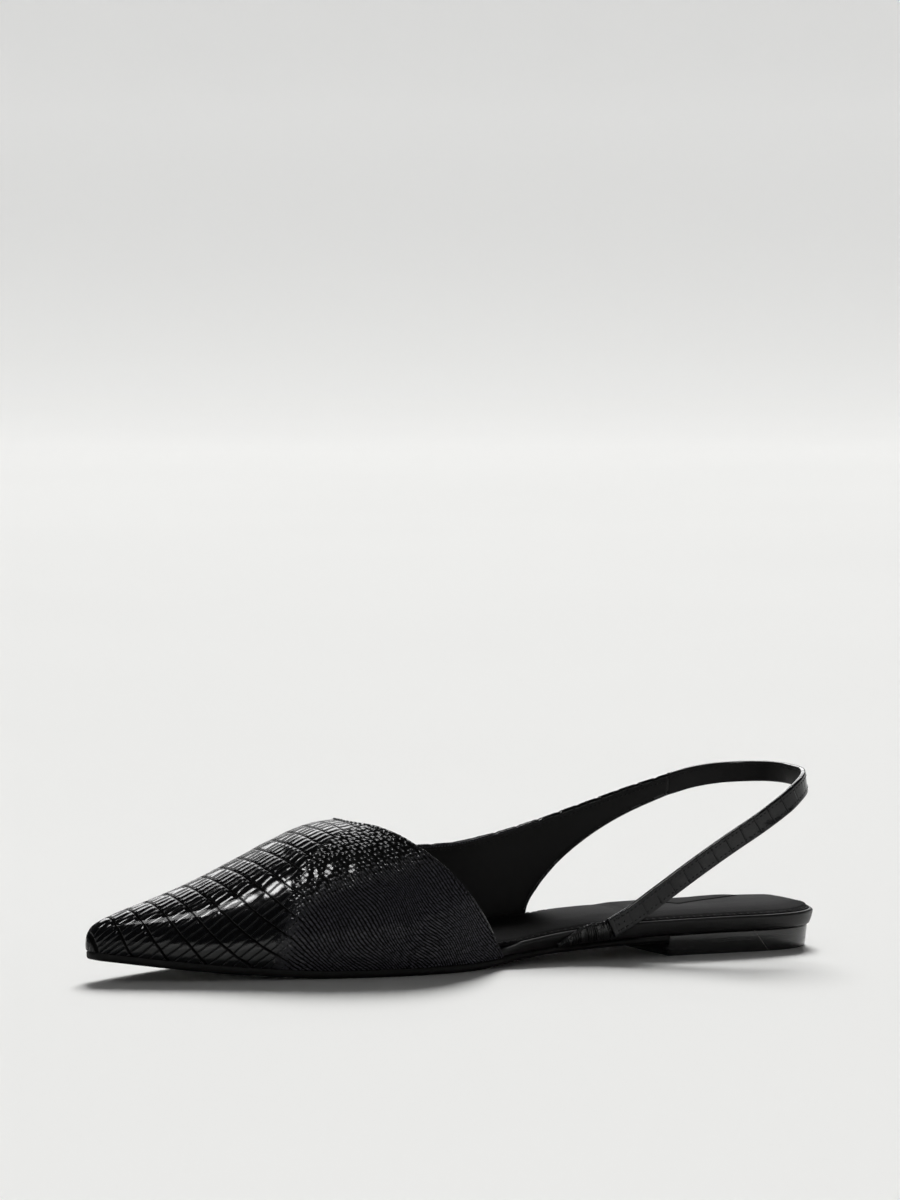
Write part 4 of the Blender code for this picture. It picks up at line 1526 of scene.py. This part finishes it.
paddedSock = makeSock()
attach(paddedSock, "root")
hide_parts("insole")
wrappedBoard = makeBoard()
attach(wrappedBoard, "root")
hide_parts("insole_board")
thinOutsole = makeOutsole()
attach(thinOutsole, "root")
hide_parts("outsole")
heelBlock = makeHeel()
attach(heelBlock, "root")
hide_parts("heel")
print("insole, sole and heel made")


# Stitches, by Geometry Nodes on lines that lie on the leather

def surfaceOf(piece):
    mesh = piece.data
    points = [vert.co.copy() for vert in mesh.vertices]
    return BVHTree.FromPolygons(points, [tuple(face.vertices) for face in mesh.polygons])


def onSurface(tree, points):
    placed = []
    normals = []
    for point in place(points):
        spot, normal = tree.find_nearest(Vector(point))[:2]
        placed.append(spot)
        normals.append(normal)
    return placed, normals


def dropOn(tree, points):
    placed = []
    normals = []
    for point in place(points):
        spot, normal = tree.ray_cast(Vector((point[0], point[1], 0.1)), Vector((0.0, 0.0, -1.0)))[:2]
        if spot is None:
            spot, normal = tree.find_nearest(Vector((point[0], point[1], 13.0 * mm)))[:2]
        placed.append(spot)
        normals.append(normal)
    return placed, normals


stitchSizes = ("pitch", "stitchLength", "threadWidth", "sink", "slant")


def sewingTree(finish):
    tree = bpy.data.node_groups.new("sewnRow", "GeometryNodeTree")
    sockets = tree.interface
    sockets.new_socket("Geometry", in_out="INPUT", socket_type="NodeSocketGeometry")
    for name in stitchSizes:
        sockets.new_socket(name, in_out="INPUT", socket_type="NodeSocketFloat")
    sockets.new_socket("Geometry", in_out="OUTPUT", socket_type="NodeSocketGeometry")
    given = addNode(tree, "NodeGroupInput")
    line = addNode(tree, "GeometryNodeMeshToCurve", None, {"Mesh": given.outputs["Geometry"]})
    even = addNode(
        tree, "GeometryNodeResampleCurve", {"mode": "LENGTH"},
        {"Curve": line.outputs[0], "Length": given.outputs["pitch"]},
    )
    up = addNode(tree, "GeometryNodeInputNamedAttribute", {"data_type": "FLOAT_VECTOR", "Name": "up"})
    along = addNode(tree, "GeometryNodeInputTangent")
    turned = addNode(
        tree, "FunctionNodeAxesToRotation", {"primary_axis": "Z", "secondary_axis": "X"},
        {"Primary Axis": up.outputs[0], "Secondary Axis": along.outputs[0]},
    )
    index = addNode(tree, "GeometryNodeInputIndex")
    # every other stitch slants the other way
    sign = addNode(
        tree, "ShaderNodeMath", {"operation": "MULTIPLY_ADD"},
        {
            0: addNode(
                tree, "ShaderNodeMath", {"operation": "MODULO"}, {0: index.outputs[0], 1: 2.0},
            ).outputs[0],
            1: 2.0, 2: -1.0,
        },
    ).outputs[0]
    slant = addNode(
        tree, "ShaderNodeMath", {"operation": "MULTIPLY"}, {0: sign, 1: given.outputs["slant"]},
    ).outputs[0]
    bend = addNode(tree, "ShaderNodeCombineXYZ", None, {"Z": slant})
    local = addNode(tree, "FunctionNodeEulerToRotation", None, {0: bend.outputs[0]})
    aim = addNode(
        tree, "FunctionNodeRotateRotation", {"rotation_space": "LOCAL"},
        {0: turned.outputs[0], 1: local.outputs[0]},
    )
    bead = addNode(tree, "GeometryNodeMeshUVSphere", {"Segments": 8, "Rings": 6, "Radius": 0.5})
    thickness = given.outputs["threadWidth"]
    size = addNode(
        tree, "ShaderNodeCombineXYZ", None,
        {"X": given.outputs["stitchLength"], "Y": thickness, "Z": thickness},
    )
    drawn = addNode(
        tree, "GeometryNodeTransform", None, {"Geometry": bead.outputs["Mesh"], "Scale": size.outputs[0]},
    )
    where = addNode(tree, "GeometryNodeInputPosition")
    part = addNode(tree, "ShaderNodeSeparateXYZ", None, {0: where.outputs[0]})
    # each stitch bends down into its holes
    share = addNode(
        tree, "ShaderNodeMath", {"operation": "DIVIDE"},
        {0: part.outputs["X"], 1: given.outputs["stitchLength"]},
    ).outputs[0]
    droop = addNode(
        tree, "ShaderNodeMath", {"operation": "MULTIPLY_ADD"},
        {
            0: addNode(tree, "ShaderNodeMath", {"operation": "MULTIPLY"}, {0: share, 1: share}).outputs[0],
            1: 4.0, 2: 0.35,
        },
    ).outputs[0]
    down = addNode(
        tree, "ShaderNodeMath", {"operation": "MULTIPLY"},
        {
            0: addNode(
                tree, "ShaderNodeMath", {"operation": "MULTIPLY"}, {0: droop, 1: given.outputs["sink"]},
            ).outputs[0],
            1: -1.0,
        },
    ).outputs[0]
    offset = addNode(tree, "ShaderNodeCombineXYZ", None, {"Z": down})
    arched = addNode(
        tree, "GeometryNodeSetPosition", None, {"Geometry": drawn.outputs[0], "Offset": offset.outputs[0]},
    )
    many = addNode(
        tree, "GeometryNodeInstanceOnPoints", None,
        {"Points": even.outputs[0], "Instance": arched.outputs[0], "Rotation": aim.outputs[0]},
    )
    real = addNode(tree, "GeometryNodeRealizeInstances", None, {0: many.outputs[0]})
    smooth = addNode(tree, "GeometryNodeSetShadeSmooth", None, {0: real.outputs[0]})
    painted = addNode(tree, "GeometryNodeSetMaterial", {"Material": finish}, {"Geometry": smooth.outputs[0]})
    addNode(tree, "NodeGroupOutput", None, {0: painted.outputs[0]})
    return tree


def sewRows(name, lines, sizes, thread):
    # lines hold (points, normals) already on the leather, in metres
    verts = []
    edges = []
    ups = []
    for points, normals in lines:
        start = len(verts)
        verts += [tuple(point) for point in points]
        ups += [tuple(normal) for normal in normals]
        edges += [(start + k, start + k + 1) for k in range(len(points) - 1)]
    mesh = bpy.data.meshes.new(name + "Line")
    mesh.from_pydata(verts, edges, [])
    layer = mesh.attributes.new("up", "FLOAT_VECTOR", "POINT")
    layer.data.foreach_set("vector", np.asarray(ups, np.float32).ravel())
    carrier = bpy.data.objects.new(name + "Line", mesh)
    bpy.context.scene.collection.objects.link(carrier)
    sewing = carrier.modifiers.new("sewing", "NODES")
    sewnRow = sewingTree(thread)
    sewing.node_group = sewnRow
    given = dict(zip(stitchSizes, sizes))
    for item in sewnRow.interface.items_tree:
        if item.in_out == "INPUT" and item.name in given:
            # a slant is a turn in radians, all the others are lengths
            sewing[item.identifier] = given[item.name] * (1.0 if item.name == "slant" else mm)
    bpy.context.view_layer.update()
    graph = bpy.context.evaluated_depsgraph_get()
    made = bpy.data.meshes.new_from_object(carrier.evaluated_get(graph))
    made.name = name
    bpy.data.objects.remove(carrier)
    stitches = bpy.data.objects.new(name, made)
    bpy.context.scene.collection.objects.link(stitches)
    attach(stitches, "root")
    return stitches


def insetLine(line, normals, distance, side):
    # a line beside an edge, over the leather; side is 1 or -1
    along = np.gradient(line, axis=0)
    inwards = np.cross(normals, along) * side
    inwards /= np.clip(np.linalg.norm(inwards, axis=1, keepdims=True), 1e-9, None)
    return line + inwards * distance


stitching = {
    # pitch, length, thread, sink and slant of the stitches
    "topline": (1.7, 1.15, 0.62, 0.04, 0.12),
    "band": (1.8, 1.2, 0.44, 0.10, 0.0),
    "zigzag": (1.25, 1.8, 0.55, 0.02, 0.75),
    "toplineInset": 1.4,
    "liningInset": 2.2,
    "zigzagInset": 2.5,
    "endRows": (14.35, 14.62),     # two short rows tie the strap's end to the elastic
}

shellSurface = surfaceOf(upperShell)
bandSurface = surfaceOf(slingBand)
sockSurface = surfaceOf(paddedSock)


def toplineRows():
    lines = []
    for key, side in (("top", 1), ("low", -1)):
        line, normals = upperEdges[key]
        even = denseLine(line, 0.6)
        run = pathLength(line)
        at = np.arange(0.0, run[-1], 0.6)
        up = np.stack([np.interp(at, run, normals[:, k]) for k in range(3)], -1)
        keep = slice(3, -3)
        inset = insetLine(even, up, stitching["toplineInset"], side)
        lines.append(onSurface(shellSurface, inset[keep]))
        if key == "top":
            inset = insetLine(even, up, stitching["liningInset"], side)
            lines.append(onSurface(shellSurface, (inset - up * upper["wall"])[keep]))
    return lines


def bandRows():
    lines = []
    here, _, across, normal, width = strapFrames(np.linspace(0.05, 14.75, 400))
    for side, face in ((1, 1), (-1, 1), (1, -1)):
        edge = side * (width / 2.0 - strap["stitchInset"])
        lines.append(onSurface(bandSurface, here + across * edge[:, None] + normal * face * 1.0))
    for row in stitching["endRows"]:
        here, _, across, normal, width = strapFrames(np.full(30, row))
        share = np.linspace(-0.5, 0.5, 30)[:, None]
        lines.append(onSurface(bandSurface, here + across * share * (width[:, None] - 2.6) + normal))
    return lines


def zigzagRow():
    x = np.concatenate([footStations(1.0)[::-1], [0.0]])
    x = x[x < 150.0]
    lines = []
    for side in (1, -1):
        px, py = edgePoint(side, x, stitching["zigzagInset"])
        lines.append(np.stack([px, py, 0.0 * px], -1))
    loop = np.concatenate([lines[0][:-1], lines[1][-2::-1]])
    return [dropOn(sockSurface, denseLine(loop, 0.8))]


rows = [
    ("toplineStitches", toplineRows(), "topline", "thread", "embossed_leather"),
    ("bandStitches", bandRows(), "band", "thread", "embossed_leather"),
    ("sockStitches", zigzagRow(), "zigzag", "sockThread", "smooth_leather"),
]
for name, lines, kind, thread, slot in rows:
    stitches = sewRows(name, lines, stitching[kind], finishes[thread])
print("stitches sewn")


# Bare woven label on the heel pad

label = {
    "corners": [(55.0, -4.0), (24.0, -17.0), (20.0, -9.0), (50.0, 5.0)],
    "lift": 0.32,
    "steps": (44, 18),
}


def makeLabel():
    a, b, c, d = (np.array(corner) for corner in label["corners"])
    u = np.linspace(0.0, 1.0, label["steps"][0])[:, None, None]
    v = np.linspace(0.0, 1.0, label["steps"][1])[None, :, None]
    plan = a * (1 - u) * (1 - v) + b * u * (1 - v) + c * u * v + d * (1 - u) * v
    flat = np.concatenate([plan, 0.0 * plan[..., :1]], -1).reshape(-1, 3)
    spots, normals = dropOn(sockSurface, flat)
    spots = np.array(spots) / mm - shift
    edge = np.minimum(np.minimum(u, 1 - u) * 33.0, np.minimum(v, 1 - v) * 12.0)
    edge = edge[..., 0]
    # a row of stitches presses a line round it
    rise = label["lift"] * smoothStep(-0.1, 0.5, edge) - 0.10 * np.exp(-((edge - 1.2) / 0.4) ** 2)
    top = spots + np.array(normals) * rise.reshape(-1, 1)
    bottom = spots - np.array(normals) * 0.15
    count = len(top)
    grid = np.arange(count).reshape(plan.shape[:2])
    faces = gridFaces(grid)
    border = openEdges(faces)
    allFaces = faces + [tuple(k + count for k in face[::-1]) for face in faces]
    allFaces += [(second, first, first + count, second + count) for first, second in border]
    points = np.concatenate([top, bottom])
    if signedVolume(points, allFaces) < 0.0:
        allFaces = [face[::-1] for face in allFaces]
    return makePiece("bareLabel", points, allFaces, [finishes["ribbon"]])


bareLabel = makeLabel()
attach(bareLabel, "root")
print("label made")


# Studio: seamless paper, soft lights and the camera

lights = [
    # name, direction it comes from, irradiance, angle it fills in degrees, what it gives: the
    # wash falls on the paper and the leather, the shine is seen only in the leather's gloss
    ("keyBehind", (-0.62, -1.20, 0.90), 4.7, 20.0, "wash"),
    ("overheadBehind", (0.10, -0.60, 1.0), 0.16, 70.0, "wash"),
    ("windowAbove", (0.16, 0.36, 0.92), 1.5, 14.0, "shine"),
    ("lowBehind", (-0.40, -0.90, 0.62), 0.95, 34.0, "shine"),
]

studio = {
    "flat": 3.6,           # metres of level paper round the shoe
    "bend": 1.7,           # then it curves up, all round
    "air": 0.055,          # light from everywhere
}


def makePaper():
    size = studio
    profile = [(r, 0.0) for r in np.linspace(0.0, size["flat"], 12)[1:]]
    for angle in np.radians(np.linspace(0.0, 52.0, 27)[1:]):
        out = size["bend"] * math.sin(angle)
        profile.append((size["flat"] + out, size["bend"] * (1.0 - math.cos(angle))))
    turns = np.linspace(0.0, 2.0 * math.pi, 97)[:-1]
    points = [(0.0, 0.0, 0.0)]
    for radius, z in profile:
        points += [(radius * math.cos(t), radius * math.sin(t), z) for t in turns]
    grid = 1 + np.arange(len(points) - 1).reshape(len(profile), 96)
    faces = [face[::-1] for face in gridFaces(grid, closed=True)]
    faces += [(0, int(grid[0, k]), int(grid[0, (k + 1) % 96])) for k in range(96)]
    points = np.array(points)
    normals = vertexNormals(points, faces)
    lit = np.zeros(len(points))
    level = 0.0
    for _, direction, strength, _, given in lights:
        if given == "shine":
            continue
        toLight = np.array(direction) / np.linalg.norm(direction)
        lit += strength * np.clip(normals @ toLight, 0.0, None)
        level += strength * toLight[2]
    raised = np.clip(1.0 - lit / level, 0.0, 1.0)
    return makePiece(
        "paperSweep", points / mm - shift, faces, [finishes["paper"]], None,
        {"raised": np.stack([raised, raised, raised], -1)},
    )


paperSweep = makePaper()
paperSweep.visible_shadow = False


def addSoftSun(name, direction, strength, degrees, given):
    data = bpy.data.lights.new(name, "SUN")
    data.energy = strength
    data.angle = math.radians(degrees)
    light = bpy.data.objects.new(name, data)
    light.rotation_euler = Vector(direction).to_track_quat("Z", "Y").to_euler()
    light.visible_diffuse = given == "wash"
    light.visible_glossy = given == "shine"
    bpy.context.scene.collection.objects.link(light)


for light in lights:
    addSoftSun(*light)

world = bpy.data.worlds.new("studioAir")
bpy.context.scene.world = world
world.use_nodes = True
world.node_tree.nodes.clear()
air = addNode(
    world.node_tree, "ShaderNodeBackground", {"Color": linearColour("#ffffff"), "Strength": studio["air"]},
)
addNode(world.node_tree, "ShaderNodeOutputWorld", None, {"Surface": air.outputs[0]})

camera = {
    "turn": 0.437321,      # radians ahead of square to the side
    "rise": 0.069752,      # radians it looks down
    "position": (1098.70, 2064.70, 280.445),
    "sensor": 36.0,
    "reach": 6826.14 / 900.0,      # the lens over the width of the picture
}


def makeCamera():
    data = bpy.data.cameras.new("sideCamera")
    data.sensor_fit = "HORIZONTAL"
    data.sensor_width = camera["sensor"]
    data.lens = camera["reach"] * camera["sensor"]
    data.clip_end = 100.0
    made = bpy.data.objects.new("sideCamera", data)
    turn, rise = camera["turn"], camera["rise"]
    back = Vector((math.sin(turn) * math.cos(rise), math.cos(turn) * math.cos(rise), math.sin(rise)))
    right = Vector((-math.cos(turn), math.sin(turn), 0.0))
    up = back.cross(right)
    spot = place(camera["position"])
    made.matrix_world = Matrix((
        (right.x, up.x, back.x, spot[0]),
        (right.y, up.y, back.y, spot[1]),
        (right.z, up.z, back.z, spot[2]),
        (0.0, 0.0, 0.0, 1.0),
    ))
    bpy.context.scene.collection.objects.link(made)
    bpy.context.scene.camera = made


makeCamera()
view = bpy.context.scene.view_settings
view.view_transform = "Standard"
view.look = "None"
print("studio ready")

bpy.context.view_layer.update()
